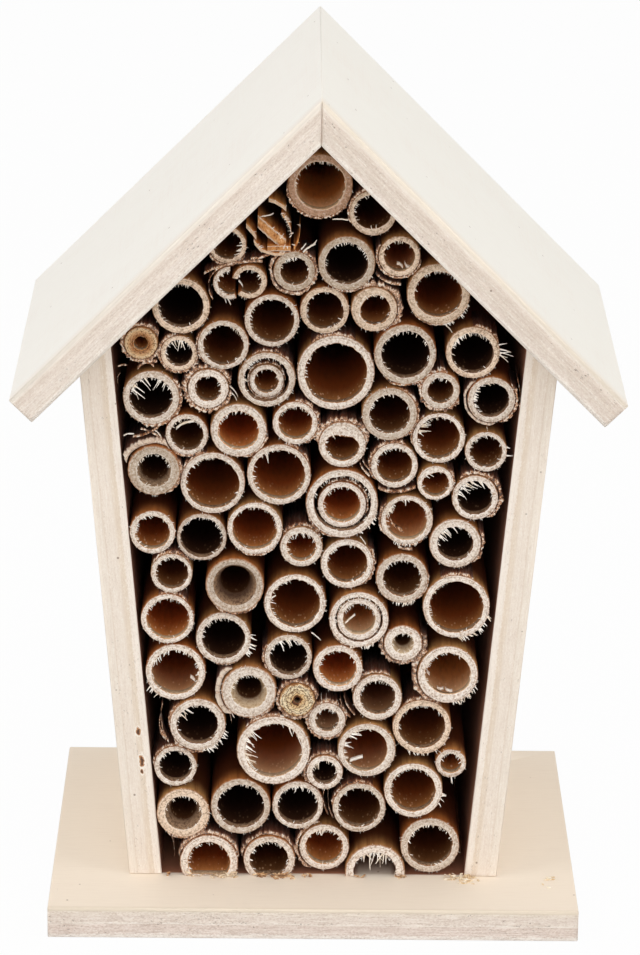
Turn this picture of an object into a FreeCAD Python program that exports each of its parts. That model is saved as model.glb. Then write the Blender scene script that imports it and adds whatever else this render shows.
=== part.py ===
import FreeCAD, Part
import Sketcher
import math
import os

# Bee hotel: a gabled plywood box, open at the front and packed with cane tubes.
# Millimetres, +Z up, front towards -Y, origin at the centre of the base's underside.

doc = FreeCAD.newDocument("bee_hotel")
sheet = doc.addObject("Spreadsheet::Sheet", "Sizes")

# Driving dimensions of the boards, pins and fits
BOARD_SIZES = [
    ("base_width", 113.0),
    ("base_thickness", 7.0),
    ("porch", 18.0),
    ("floor_width", 65.5),
    ("wall_depth", 72.0),
    ("wall_thickness", 7.0),
    ("wall_lean", 5.0),
    ("ridge_height", 183.0),
    ("roof_pitch", 45.0),
    ("roof_slope", 89.5),
    ("roof_thickness", 6.6),
    ("roof_overhang", 18.0),
    ("back_thickness", 5.0),
    ("brad_diameter", 1.2),
    ("brad_length", 20.0),
    ("brad_fit", 0.05),
    ("brad_set", 0.6),
    ("brad_inset", 12.0),
    ("side_brad_low", 32.0),
    ("side_brad_high", 100.0),
    ("cane_gap", 0.12),
    ("inner_cane_gap", 0.15),
]

# Places worked out from the driving dimensions
DERIVED_SIZES = [
    ("floor_half", "=floor_width / 2"),
    ("base_depth", "=wall_depth + porch"),
    ("rear", "=base_depth / 2"),
    ("wall_front", "=rear - wall_depth"),
    ("back_face", "=rear - back_thickness"),
    ("flare", "=tan(wall_lean)"),
    ("fall", "=tan(roof_pitch)"),
    ("wall_foot", "=wall_thickness / cos(wall_lean)"),
    ("under_ridge", "=ridge_height - roof_thickness / cos(roof_pitch)"),
    ("splay", "=1 + fall * flare"),
    ("inner_top_height", "=(under_ridge - fall * (floor_half - flare * base_thickness)) / splay"),
    ("inner_top_across", "=floor_half + flare * (inner_top_height - base_thickness)"),
    ("outer_top_height", "=inner_top_height - fall * wall_foot / splay"),
    ("outer_top_across", "=floor_half + wall_foot + flare * (outer_top_height - base_thickness)"),
    ("eave_across", "=roof_slope * cos(roof_pitch)"),
    ("eave_height", "=ridge_height - roof_slope * sin(roof_pitch)"),
    ("eave_under_across", "=eave_across - roof_thickness * sin(roof_pitch)"),
    ("eave_under_height", "=eave_height - roof_thickness * cos(roof_pitch)"),
]

# Canes that are nodes of their own, from the floor up: centre across from the middle,
# centre height over the floor, outer diameter, bore, and how far the mouth stands out of the walls
LARGE_CANES = [
    ("cane_01", -22.5, 3.2, 12.8, 9.0, 0.6),
    ("cane_02", -9.5, 3.7, 11.4, 8.3, 0.3),
    ("cane_03", 2.9, 6.0, 11.0, 8.0, -0.9),
    ("cane_04", 13.4, 1.0, 13.2, 9.2, 0.4),
    ("cane_05", 25.2, 7.1, 13.0, 9.5, -0.4),
    ("cane_06", -28.2, 14.5, 11.6, 7.6, 0.2),
    ("cane_07", -15.7, 16.2, 13.1, 10.0, 0.5),
    ("cane_08", -3.9, 16.6, 11.3, 8.6, -0.2),
    ("cane_09", 10.0, 16.2, 11.6, 8.9, 0.3),
    ("cane_10", 21.1, 20.3, 12.8, 9.7, 0.7),
    ("cane_11", -8.6, 29.2, 16.0, 12.2, 0.6),
    ("cane_12", 11.2, 29.6, 12.6, 9.7, 0.8),
    ("cane_13", 22.4, 34.6, 12.8, 9.8, -0.3),
    ("cane_14", -25.0, 35.1, 12.2, 8.7, 0.4),
    ("cane_15", -13.75, 43.1, 12.0, 7.4, 0.7),
    ("cane_16", -29.75, 47.0, 13.0, 9.9, 0.0),
    ("cane_17", 28.2, 47.2, 13.2, 9.6, 0.9),
    ("cane_18", -19.6, 54.5, 12.0, 9.0, -0.5),
    ("cane_19", 9.1, 59.3, 12.8, 10.0, 0.6),
    ("cane_20", -31.4, 59.2, 11.5, 9.0, 0.3),
    ("cane_21", -4.4, 62.6, 13.4, 10.5, -0.4),
    ("cane_22", 29.7, 62.5, 14.4, 11.6, 0.5),
    ("cane_23", -17.2, 66.9, 12.6, 7.0, 0.8),
    ("cane_24", 18.1, 68.6, 11.3, 8.0, 0.1),
    ("cane_25", 6.5, 71.6, 11.4, 8.4, -0.6),
    ("cane_26", 29.2, 76.6, 11.2, 7.4, 0.2),
    ("cane_27", -13.1, 79.5, 11.9, 9.4, 0.4),
    ("cane_28", 18.9, 81.9, 11.2, 8.7, 0.6),
    ("cane_29", 5.2, 85.5, 15.4, 12.0, 0.9),
    ("cane_30", -21.9, 89.5, 13.8, 11.1, -0.2),
    ("cane_31", -34.2, 92.4, 11.2, 7.0, 0.7),
    ("cane_32", -8.1, 91.7, 13.6, 10.8, 0.3),
    ("cane_33", 25.3, 99.8, 11.3, 8.8, 0.0),
    ("cane_34", -16.5, 101.1, 12.0, 8.3, 0.5),
    ("cane_35", 14.8, 105.4, 11.8, 8.4, 0.8),
    ("cane_36", -34.8, 108.1, 12.1, 8.7, -0.3),
    ("cane_37", -10.4, 112.8, 12.2, 9.3, 0.6),
    ("cane_38", 3.6, 114.0, 16.5, 12.9, 0.2),
    ("cane_39", 17.6, 118.0, 13.2, 9.8, 0.7),
    ("cane_40", 32.0, 118.4, 11.5, 8.5, -0.5),
    ("cane_41", -9.9, 125.2, 11.6, 9.1, 0.3),
    ("cane_42", -28.6, 128.1, 12.2, 9.2, 0.0),
    ("cane_43", 24.6, 131.3, 13.3, 9.7, 0.5),
    ("cane_44", 5.4, 137.4, 12.0, 8.7, 0.9),
    ("cane_45", -0.4, 153.5, 13.6, 10.2, -0.8),
]

# Thinner canes, laid between the large ones and grouped by their part of the stack
SMALL_CANES = {
    "small_canes_lower": [
        ("lower_01", 29.3, 26.6, 6.7, 4.4, 0.4),
        ("lower_02", -29.8, 25.0, 9.4, 6.9, -0.6),
        ("lower_03", 2.5, 24.5, 8.0, 5.2, 0.5),
        ("lower_04", 2.6, 36.1, 8.2, 5.0, -0.3),
        ("lower_05", -3.75, 41.2, 7.7, 1.4, 0.8),
        ("lower_06", 13.2, 41.7, 10.7, 7.5, 0.2),
        ("lower_07", -5.5, 49.7, 10.4, 7.9, -0.4),
        ("lower_08", 4.5, 48.3, 10.8, 7.8, 0.6),
        ("lower_09", 18.6, 54.0, 8.4, 4.4, 0.3),
    ],
    "small_canes_middle": [
        ("middle_01", -30.4, 69.5, 9.0, 6.8, 0.5),
        ("middle_02", -3.4, 75.5, 9.2, 6.1, -0.2),
        ("middle_03", -34.4, 78.5, 9.8, 7.3, 0.3),
        ("middle_04", -24.3, 77.1, 10.8, 8.7, -0.7),
        ("middle_05", 33.1, 86.9, 10.0, 7.3, 0.4),
        ("middle_06", 24.8, 90.2, 7.8, 5.8, 0.7),
        ("middle_07", 16.1, 93.7, 10.1, 7.4, -0.1),
        ("middle_08", 35.2, 97.0, 9.0, 6.8, 0.2),
        ("middle_09", 5.15, 98.4, 10.2, 7.0, 0.6),
        ("middle_10", -27.4, 100.0, 9.2, 6.9, -0.4),
    ],
    "small_canes_upper": [
        ("upper_01", -4.75, 103.0, 9.6, 7.0, 0.4),
        ("upper_02", 36.1, 108.3, 10.2, 7.3, -0.2),
        ("upper_03", 25.3, 110.6, 8.2, 5.3, 0.6),
        ("upper_04", -22.9, 110.3, 8.8, 5.3, 0.3),
        ("upper_05", -28.7, 117.8, 7.8, 5.5, -0.5),
        ("upper_06", -36.9, 120.0, 7.2, 3.0, 0.2),
        ("upper_07", -19.2, 120.0, 10.9, 8.3, 0.5),
        ("upper_08", 0.8, 127.6, 10.4, 7.7, -0.3),
        ("upper_09", 11.2, 127.8, 9.8, 6.5, 0.4),
        ("upper_10", -14.4, 133.4, 7.4, 5.0, 0.7),
        ("upper_11", -5.2, 135.8, 8.8, 5.8, 0.1),
        ("upper_12", 16.4, 139.3, 8.8, 6.4, 0.5),
        ("upper_13", -19.0, 141.0, 8.0, 6.0, -0.6),
        ("upper_14", 10.8, 148.4, 9.8, 7.6, 0.3),
    ],
}

# Two broken canes near the ridge: one split open where its neighbour presses in, one crushed
BROKEN_CANES = [
    ("split", -18.4, 133.2, 7.2, 5.4, 0.2),
    ("crushed", -9.2, 145.7, 11.6, 9.8, 0.2),
]
BROKEN_CANE_SIZES = [
    ("crushed_slot", 5.0),
    ("crushed_slot_turn", 135.0),
    ("slat_width", 7.6),
    ("slat_thickness", 1.5),
    ("slat_turn", -48.6),
    ("slat_offset", -0.45),
    ("slat_shift", -1.5),
]

# Thinner canes pushed into the bore of a large one: their outer diameter, bore and mouth
INNER_CANES = {
    "inner_19": ("cane_19", 9.6, 6.9, 0.4),
    "inner_29": ("cane_29", 10.4, 7.7, 0.0),
    "inner_37": ("cane_37", 7.4, 5.0, -0.6),
}

# Stems are never truly round, so each is drawn with this many flats outside and in its bore;
# the pins' wire and its holes are drawn with few, as they are many and thin
STEM_FLATS = 20
BORE_FLATS = 16
BRAD_FLATS = 12

# Canes split along their length, which stand on the floor on their cut edges
FLOOR_SPLIT = ("cane_01", "cane_02", "cane_04")
SPLIT_NEIGHBOUR = "upper_10"
ALL_CANES = LARGE_CANES + sum(SMALL_CANES.values(), []) + BROKEN_CANES
CANE_COLUMNS = ("across", "height", "outer", "bore", "proud")


def fill_sheet():
    """Writes every size into its own named cell."""
    cells = [(alias, str(value)) for alias, value in BOARD_SIZES + BROKEN_CANE_SIZES]
    cells += DERIVED_SIZES
    for name, *values in ALL_CANES:
        for column, value in zip(CANE_COLUMNS, values):
            cells.append((f"{name}_{column}", str(value)))
    for name, (_, *values) in INNER_CANES.items():
        for column, value in zip(CANE_COLUMNS[2:], values):
            cells.append((f"{name}_{column}", str(value)))
    for row, (alias, text) in enumerate(cells, start=1):
        sheet.set(f"A{row}", alias)
        sheet.set(f"B{row}", text)
        sheet.setAlias(f"B{row}", alias)
    doc.recompute()


def size(alias):
    """The value that a named cell holds now."""
    return float(sheet.get(alias))


def plane_of(body, role):
    """One of a body's own origin planes."""
    return next(feature for feature in body.Origin.OriginFeatures if feature.Role == role)


def new_sketch(body, name, role="XZ_Plane"):
    """An empty sketch on one of the body's origin planes."""
    sketch = body.newObject("Sketcher::SketchObject", name)
    sketch.AttachmentSupport = (plane_of(body, role), "")
    sketch.MapMode = "FlatFace"
    return sketch


def add_outline(sketch, corners):
    """A closed outline whose corners are tied to cells: pairs of expressions across and up."""
    points = [FreeCAD.Vector(*[evaluate(text) for text in corner], 0) for corner in corners]
    count = len(points)
    for index in range(count):
        sketch.addGeometry(Part.LineSegment(points[index], points[(index + 1) % count]), False)
    for index in range(count):
        sketch.addConstraint(Sketcher.Constraint("Coincident", index, 2, (index + 1) % count, 1))
    for index, corner in enumerate(corners):
        for kind, text in zip(("DistanceX", "DistanceY"), corner):
            tie_corner(sketch, kind, index, text)


def tie_corner(sketch, kind, index, text):
    """Ties one coordinate of a line's first point to a cell, from the sketch's origin."""
    value = evaluate(text)
    if value == 0:
        axis = -2 if kind == "DistanceX" else -1
        sketch.addConstraint(Sketcher.Constraint("PointOnObject", index, 1, axis))
        return
    number = sketch.addConstraint(Sketcher.Constraint(kind, -1, 1, index, 1, value))
    sketch.setExpression(f"Constraints[{number}]", text)


def evaluate(text):
    """The number that an expression on the sheet's cells gives now."""
    return float(sheet.evalExpression(text))


def pad(body, sketch, length):
    """Thickens a sketch on the XZ plane towards the rear."""
    feature = body.newObject("PartDesign::Pad", f"{body.Name}_pad")
    feature.Profile = sketch
    feature.Reversed = True
    feature.setExpression("Length", length)
    return feature


def board(name, corners, depth, front):
    """A board with one outline all along its depth, its front face at the given place."""
    body = doc.addObject("PartDesign::Body", name)
    sketch = new_sketch(body, f"{name}_outline")
    add_outline(sketch, corners)
    pad(body, sketch, depth)
    body.setExpression("Placement.Base.y", front)
    return body


def mirror_left(source, name):
    """The left-hand twin of a right-hand board."""
    twin = doc.addObject("Part::Mirroring", name)
    twin.Source = source
    twin.Normal = FreeCAD.Vector(1, 0, 0)
    return twin


def prism(name, flats, radius, length, placement):
    """A straight prism from one end, along its placement's own Z."""
    solid = doc.addObject("Part::Prism", name)
    solid.Polygon = flats
    solid.setExpression("Circumradius", radius)
    solid.setExpression("Height", length)
    solid.Placement = placement
    return solid


def group(name, members):
    """Several separate solids that share one node."""
    compound = doc.addObject("Part::Compound", name)
    compound.Links = members
    return compound


def cut_away(name, source, tool):
    """What is left of one solid when another is taken out of it."""
    cut = doc.addObject("Part::Cut", name)
    cut.Base = source
    cut.Tool = tool
    return cut


def base_brad_places():
    """Where pins go up through the base: two under each wall and two under the back panel."""
    bite = size("brad_length") + size("brad_set") - size("base_thickness")
    under_wall = size("floor_half") + size("wall_foot") / 2 + size("flare") * bite / 2
    in_back = size("rear") - size("back_thickness") / 2
    spots = []
    for along in (size("wall_front") + size("brad_inset"), size("rear") - size("brad_inset")):
        spots += [(-under_wall, along), (under_wall, along)]
    half_floor = size("floor_half") / 2
    spots += [(-half_floor, in_back), (half_floor, in_back)]
    return spots


def build_brads():
    """The pins and, for each board that they pass, its holes."""
    radius = "Sizes.brad_diameter / 2"
    hole_radius = "Sizes.brad_diameter / 2 + Sizes.brad_fit"
    pins = []
    holes = []
    for number, (across, along) in enumerate(base_brad_places(), start=1):
        seat = FreeCAD.Vector(across, along, size("brad_set"))
        upright = FreeCAD.Rotation()
        pins.append(prism(f"base_brad_{number}", BRAD_FLATS, radius, "Sizes.brad_length",
                          FreeCAD.Placement(seat, upright)))
        holes.append(prism(f"base_hole_{number}", BRAD_FLATS, hole_radius,
                           "Sizes.brad_length + Sizes.brad_set + Sizes.brad_fit",
                           FreeCAD.Placement(FreeCAD.Vector(across, along, 0), upright)))
    side_pins = []
    side_holes = []
    in_back = size("rear") - size("back_thickness") / 2
    for label, turn in (("right", -90), ("left", 90)):
        inwards = FreeCAD.Rotation(FreeCAD.Vector(0, 1, 0), turn)
        outward = 1 if label == "right" else -1
        for level in ("low", "high"):
            height = size(f"side_brad_{level}")
            skin = size("floor_half") + size("wall_foot") + size("flare") * (height - size("base_thickness"))
            head = FreeCAD.Vector(outward * (skin - size("brad_set")), in_back, height)
            mouth = FreeCAD.Vector(outward * (skin + size("brad_diameter")), in_back, height)
            side_pins.append(prism(f"{label}_brad_{level}", BRAD_FLATS, radius, "Sizes.brad_length",
                                   FreeCAD.Placement(head, inwards)))
            side_holes.append(prism(
                f"{label}_hole_{level}", BRAD_FLATS, hole_radius,
                "Sizes.brad_length + Sizes.brad_set + Sizes.brad_diameter + Sizes.brad_fit",
                FreeCAD.Placement(mouth, inwards)))
    nodes = [group("base_brads", pins), group("side_brads", side_pins)]
    return nodes, group("base_holes", holes), group("wall_holes", holes + side_holes)


def build_boards():
    """The base, walls, back panel and roof boards."""
    brads, base_holes, all_holes = build_brads()
    base_block = board("base_block", [
        ("-Sizes.base_width / 2", "0"),
        ("Sizes.base_width / 2", "0"),
        ("Sizes.base_width / 2", "Sizes.base_thickness"),
        ("-Sizes.base_width / 2", "Sizes.base_thickness"),
    ], "Sizes.base_depth", "-Sizes.rear")
    wall_block = board("wall_block", [
        ("Sizes.floor_half", "Sizes.base_thickness"),
        ("Sizes.floor_half + Sizes.wall_foot", "Sizes.base_thickness"),
        ("Sizes.outer_top_across", "Sizes.outer_top_height"),
        ("Sizes.inner_top_across", "Sizes.inner_top_height"),
    ], "Sizes.wall_depth", "Sizes.wall_front")
    back_block = board("back_block", [
        ("-Sizes.floor_half", "Sizes.base_thickness"),
        ("Sizes.floor_half", "Sizes.base_thickness"),
        ("Sizes.inner_top_across", "Sizes.inner_top_height"),
        ("0", "Sizes.under_ridge"),
        ("-Sizes.inner_top_across", "Sizes.inner_top_height"),
    ], "Sizes.back_thickness", "Sizes.back_face")
    right_roof = board("right_roof_board", [
        ("0", "Sizes.ridge_height"),
        ("Sizes.eave_across", "Sizes.eave_height"),
        ("Sizes.eave_under_across", "Sizes.eave_under_height"),
        ("0", "Sizes.under_ridge"),
    ], "Sizes.wall_depth + Sizes.roof_overhang", "Sizes.wall_front - Sizes.roof_overhang")
    right_wall = cut_away("right_wall", wall_block, all_holes)
    return brads + [
        cut_away("base_plate", base_block, base_holes),
        right_wall,
        mirror_left(right_wall, "left_wall"),
        cut_away("back_panel", back_block, all_holes),
        right_roof,
        mirror_left(right_roof, "left_roof_board"),
    ]


def inner_faces():
    """The faces that hold the canes in: the way inwards, and how far inside the floor's middle is."""
    lean = math.radians(size("wall_lean"))
    pitch = math.radians(size("roof_pitch"))
    apex = size("under_ridge") - size("base_thickness")
    faces = [(0.0, 1.0, 0.0)]
    for side in (1, -1):
        faces.append((-side * math.cos(lean), math.sin(lean), size("floor_half") * math.cos(lean)))
        faces.append((-side * math.sin(pitch), -math.cos(pitch), apex * math.cos(pitch)))
    return faces


def inside(place, face):
    """How far a place is inside a face."""
    return place[0] * face[0] + place[1] * face[1] + face[2]


def pressed_in(first, second):
    """Whether one of two canes is pressed into the other's split."""
    return {first, second} == {"split", SPLIT_NEIGHBOUR}


def neighbours(places, reach):
    """Pairs of canes near enough to meet while they settle, each with the distance to keep."""
    names = list(places)
    gap = size("cane_gap")
    spare = max(reach.values())
    pairs = []
    for index, first in enumerate(names):
        for second in names[index + 1:]:
            apart = math.dist(places[first], places[second])
            need = apart if pressed_in(first, second) else reach[first] + reach[second] + gap
            if apart < need + spare:
                pairs.append((first, second, need))
    return pairs


def settle(places, reach):
    """Nudges canes that crowd each other or a board apart, a little at a time.

    The canes split on the floor stay where they are, and the others give way to them."""
    gap = size("cane_gap")
    close_enough = gap / 10
    most_passes = 600
    faces = inner_faces()
    pairs = neighbours(places, reach)
    loose = [name for name in places if name not in FLOOR_SPLIT]
    for _ in range(most_passes):
        lacks = [push_apart(places, *pair) for pair in pairs]
        lacks += [push_in(places, name, face, reach[name] + gap) for name in loose for face in faces]
        if max(lacks) < close_enough:
            break


def push_apart(places, first, second, need):
    """Moves two canes off each other along the line of their centres; gives what they lacked."""
    across = places[second][0] - places[first][0]
    height = places[second][1] - places[first][1]
    apart = math.hypot(across, height)
    lack = need - apart
    if lack <= 0:
        return 0.0
    movers = [name for name in (first, second) if name not in FLOOR_SPLIT]
    for name in movers:
        way = 1 if name == second else -1
        step = way * lack / len(movers) / apart
        places[name] = (places[name][0] + step * across, places[name][1] + step * height)
    return lack


def push_in(places, name, face, need):
    """Moves a cane off a board; gives what it lacked."""
    lack = need - inside(places[name], face)
    if lack <= 0:
        return 0.0
    places[name] = (places[name][0] + lack * face[0], places[name][1] + lack * face[1])
    return lack


def lacks_room(name, places, reach):
    """Whether a cane is still too near a board or another cane."""
    least = reach[name] + size("cane_gap") / 2
    faces = inner_faces()
    if name in FLOOR_SPLIT:
        faces = faces[1:]
    if any(inside(places[name], face) < least for face in faces):
        return True
    others = [other for other in places if other != name and not pressed_in(name, other)]
    return any(math.dist(places[name], places[other]) < least + reach[other] for other in others)


def lay_canes():
    """Each cane's place in the stack; while some lack room, the topmost of them is left out."""
    names = sorted((row[0] for row in ALL_CANES), key=lambda name: size(f"{name}_height"))
    reach = {name: size(f"{name}_outer") / 2 for name in names}
    while True:
        places = {name: (size(f"{name}_across"), size(f"{name}_height")) for name in names}
        settle(places, reach)
        crowded = [name for name in names if lacks_room(name, places, reach)]
        if not crowded:
            return places
        names.remove(crowded[-1])


def cane_length(name):
    """From the back panel to the mouth, as an expression."""
    return f"Sizes.wall_depth - Sizes.back_thickness + Sizes.{name}_proud"


def rod(name, flats, radius, length, place):
    """A prism from the cane's mouth to the back panel."""
    to_rear = FreeCAD.Rotation(FreeCAD.Vector(1, 0, 0), -90)
    centre = FreeCAD.Vector(place[0], 0, size("base_thickness") + place[1])
    solid = prism(name, flats, radius, length, FreeCAD.Placement(centre, to_rear))
    solid.setExpression("Placement.Base.y", f"Sizes.back_face - ({length})")
    return solid


def box(name, width, length, height, centre, turn=0.0):
    """A block from the cane's mouth to the back panel, centred at a place and turned about it."""
    block = doc.addObject("Part::Box", name)
    block.setExpression("Length", width)
    block.setExpression("Width", length)
    block.setExpression("Height", height)
    tilt = FreeCAD.Rotation(FreeCAD.Vector(0, -1, 0), turn)
    corner = FreeCAD.Vector(-evaluate(width) / 2, 0, -evaluate(height) / 2)
    middle = FreeCAD.Vector(centre[0], 0, size("base_thickness") + centre[1])
    block.Placement = FreeCAD.Placement(middle + tilt.multVec(corner), tilt)
    block.setExpression("Placement.Base.y", f"Sizes.back_face - ({length})")
    return block


def hollow_stem(name, owner, place):
    """A cane's plain tube, its rear end against the back panel."""
    length = cane_length(owner)
    stem = rod(f"{name}_stem", STEM_FLATS, f"Sizes.{owner}_outer / 2", length, place)
    bore = rod(f"{name}_hollow", BORE_FLATS, f"Sizes.{owner}_bore / 2", length, place)
    return cut_away(name, stem, bore)


def cane(name, place):
    """A whole cane, or one split along its length that stands on the floor."""
    if name not in FLOOR_SPLIT:
        return hollow_stem(name, name, place)
    whole = hollow_stem(f"{name}_whole", name, place)
    under = (place[0], size("cane_gap") - size(f"{name}_outer") / 2)
    waste = box(f"{name}_waste", f"Sizes.{name}_outer", cane_length(name), f"Sizes.{name}_outer", under)
    return cut_away(name, whole, waste)


def inner_cane(name, holder, place):
    """A thin cane lying on the bottom of a large one's bore."""
    to_flat = size(f"{holder}_bore") / 2 * math.cos(math.pi / BORE_FLATS)
    drop = to_flat - size(f"{name}_outer") / 2 - size("inner_cane_gap")
    return cane(name, (place[0], place[1] - drop))


def split_cane(place, neighbour):
    """A stem split open along its side, with its neighbour pressed into the split."""
    whole = hollow_stem("split_whole", "split", place)
    room = rod("split_room", STEM_FLATS, f"Sizes.{SPLIT_NEIGHBOUR}_outer / 2 + Sizes.cane_gap",
               cane_length("split"), neighbour)
    return cut_away("split", whole, room)


def crushed_cane(place):
    """A crushed stem, open along its upper left, with a flat slat of its own wall inside it."""
    whole = hollow_stem("crushed_whole", "crushed", place)
    turn = math.radians(size("crushed_slot_turn"))
    reach = size("crushed_outer") / 2
    side = (place[0] + reach * math.cos(turn), place[1] + reach * math.sin(turn))
    slot = box("crushed_slot", "Sizes.crushed_outer", cane_length("crushed"), "Sizes.crushed_slot",
               side, size("crushed_slot_turn"))
    tilt = math.radians(size("slat_turn"))
    along = size("slat_offset")
    over = size("slat_shift")
    middle = (place[0] + along * math.cos(tilt) - over * math.sin(tilt),
              place[1] + along * math.sin(tilt) + over * math.cos(tilt))
    slat = box("slat", "Sizes.slat_width", cane_length("crushed"), "Sizes.slat_thickness",
               middle, size("slat_turn"))
    return [cut_away("crushed", whole, slot), slat]


def broken_canes(places):
    """The solids of the two broken canes."""
    solids = []
    if "split" in places and SPLIT_NEIGHBOUR in places:
        solids.append(split_cane(places["split"], places[SPLIT_NEIGHBOUR]))
    if "crushed" in places:
        solids += crushed_cane(places["crushed"])
    return solids


def build_canes():
    """Every cane that has room: the large ones as nodes, the others in groups."""
    places = lay_canes()
    nodes = [cane(row[0], places[row[0]]) for row in LARGE_CANES if row[0] in places]
    groups = {}
    for label, rows in SMALL_CANES.items():
        groups[label] = [cane(row[0], places[row[0]]) for row in rows if row[0] in places]
    groups["inner_canes"] = [inner_cane(name, row[0], places[row[0]])
                             for name, row in INNER_CANES.items() if row[0] in places]
    groups["broken_canes"] = broken_canes(places)
    return nodes + [group(label, members) for label, members in groups.items() if members]


def check(nodes):
    """Stops if any object failed or any node is empty or unsound."""
    for item in doc.Objects:
        if "Invalid" in item.State or "Error" in item.State:
            raise RuntimeError(f"{item.Label} failed: {item.State}")
    for node in nodes:
        if node.Shape.isNull() or not node.Shape.isValid() or not node.Shape.Solids:
            raise RuntimeError(f"{node.Label} has no sound solid")


fill_sheet()
nodes = build_boards() + build_canes()
doc.recompute()
check(nodes)
os.makedirs("parts", exist_ok=True)
for node in nodes:
    node.Shape.exportStep(f"parts/{node.Label}.step")
print(len(nodes), "nodes,", sum(len(node.Shape.Solids) for node in nodes), "solids")
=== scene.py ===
import math
import random
from collections import namedtuple

import bmesh
import bpy
from mathutils import Matrix, Vector, noise


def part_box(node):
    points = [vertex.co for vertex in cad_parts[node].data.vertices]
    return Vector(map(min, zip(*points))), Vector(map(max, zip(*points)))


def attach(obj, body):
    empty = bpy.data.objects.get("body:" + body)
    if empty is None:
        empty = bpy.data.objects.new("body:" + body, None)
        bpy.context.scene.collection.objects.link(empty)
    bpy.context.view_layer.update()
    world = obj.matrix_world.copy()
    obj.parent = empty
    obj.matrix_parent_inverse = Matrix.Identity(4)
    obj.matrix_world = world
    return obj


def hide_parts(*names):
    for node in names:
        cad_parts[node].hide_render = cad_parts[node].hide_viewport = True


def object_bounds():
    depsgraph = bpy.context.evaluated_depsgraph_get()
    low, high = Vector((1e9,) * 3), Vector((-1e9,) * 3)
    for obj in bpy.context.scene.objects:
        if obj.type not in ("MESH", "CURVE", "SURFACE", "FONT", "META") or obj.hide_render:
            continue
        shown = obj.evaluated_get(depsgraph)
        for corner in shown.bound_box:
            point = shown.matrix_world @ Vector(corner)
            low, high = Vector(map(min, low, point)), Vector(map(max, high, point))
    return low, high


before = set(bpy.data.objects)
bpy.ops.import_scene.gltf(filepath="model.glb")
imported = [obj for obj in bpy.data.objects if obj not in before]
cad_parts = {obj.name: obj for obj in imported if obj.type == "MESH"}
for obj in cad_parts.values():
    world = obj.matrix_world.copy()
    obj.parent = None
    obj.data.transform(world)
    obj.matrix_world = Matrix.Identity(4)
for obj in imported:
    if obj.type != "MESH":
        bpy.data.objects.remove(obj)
cad_low, cad_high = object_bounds()

MM = 0.001
FULL_TURN = 360.0
# Corners closer together than this are one
WELD = 0.001 * MM

# The photograph's view: the camera's place in millimetres, its turns in degrees, its focal length in pixels
CAMERA_PLACE = Vector((-5.578, -857.782, 378.199))
CAMERA_PITCH = 18.641
CAMERA_YAW = -0.423
CAMERA_ROLL = 0.644
FOCAL_PIXELS = 4182.05
IMAGE_HEIGHT = 955
SENSOR_WIDTH = 36.0

# Soft lamps: where each stands from the object's middle before the reach moves it out, in metres, and its
# power; the paired ones stand on both sides
LAMP_SIZE = 0.8
LAMP_REACH = 1.15
PAIRED_LAMPS = [("side", (0.70, -0.20, 0.68), 5.0), ("front", (0.40, -0.82, 0.40), 2.0),
                ("rear", (0.62, 0.45, 0.64), 1.3)]
FRONT_LAMP = ((0.0, -0.93, 0.36), 3.2)

# How the boards are set, in degrees
WALL_LEAN = 5.0
ROOF_PITCH = 45.0

# In millimetres: where the walls' front is, how far the floor inside reaches to each side, and where the
# middle of the half cane on it is
INSIDE_FRONT = -26.6
HALF_INSIDE = 35.0
ARCH_CENTRE = 13.4

# Plies through each board, as a share of its thickness from its inner or lower face
LEFT_ROOF_PLIES = [
    (0.0, "#f4ebe0"), (0.12, "#f1e7dc"), (0.18, "#e7dacd"), (0.50, "#e7dace"), (0.57, "#ecdfd2"),
    (0.63, "#e6d8cb"), (0.76, "#e2d3c5"), (0.86, "#e8dbcd"), (0.93, "#f2ebe2"), (1.0, "#f5f1e9")]
RIGHT_ROOF_PLIES = [
    (0.0, "#f3eae0"), (0.12, "#f0e6db"), (0.18, "#e2d4c7"), (0.45, "#ddcfc1"), (0.51, "#e5d7c9"),
    (0.56, "#dccdbf"), (0.70, "#dfd0c2"), (0.80, "#e8dacc"), (0.93, "#f2ebe1"), (1.0, "#f4f0e7")]
WALL_PLIES = [(0.0, "#f3e8dc"), (0.19, "#f1e5d8"), (0.23, "#e4d3bf"), (0.36, "#e6d6c4"), (0.42, "#ecdfd1"),
              (0.70, "#ebded0"), (0.73, "#e3d3c2"), (0.77, "#ebdfd1"), (1.0, "#eee2d4")]
BASE_PLIES = [(0.0, "#f5ece3"), (0.13, "#f3e9df"), (0.18, "#e8d8cd"), (0.42, "#e7d6ca"), (0.47, "#ecddd1"),
              (0.50, "#f5ebe0"), (0.54, "#eddfd2"), (0.72, "#eddfd2"), (0.86, "#f0e3d4"), (0.93, "#eddfcd"),
              (1.0, "#eddfcd")]
BACK_PLIES = [(0.0, "#eee2d2"), (0.1, "#eee2d2"), (0.14, "#e4d0c0"), (0.86, "#e4d0c0"), (0.9, "#eee2d2")]
# Each roof board's plies, the peach towards its front, which is painted shade of an arris rounder than the
# board's, and the colour of its eased arris, darker as painted shade where the bevel would catch more light
ROOF_LOOKS = {"left": (LEFT_ROOF_PLIES, "#f0e6da", "#e6dccf"),
              "right": (RIGHT_ROOF_PLIES, "#f0e4d5", "#e7dac9")}

# Gaps in the left wall's core veneer that show at its front: height, share of the thickness, and their size
WALL_VOIDS = [(43.4, 0.30, 1.3, 0.75), (36.4, 0.27, 2.2, 0.8), (34.0, 0.30, 0.8, 0.5)]

# Boards, in millimetres and degrees: which edges are long and sharp enough to be eased, and up to which area
# the faces between belong to the eased edges
LONG_EDGE = 4
SHARP_EDGE = 40
EASED_AREA = 400

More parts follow.
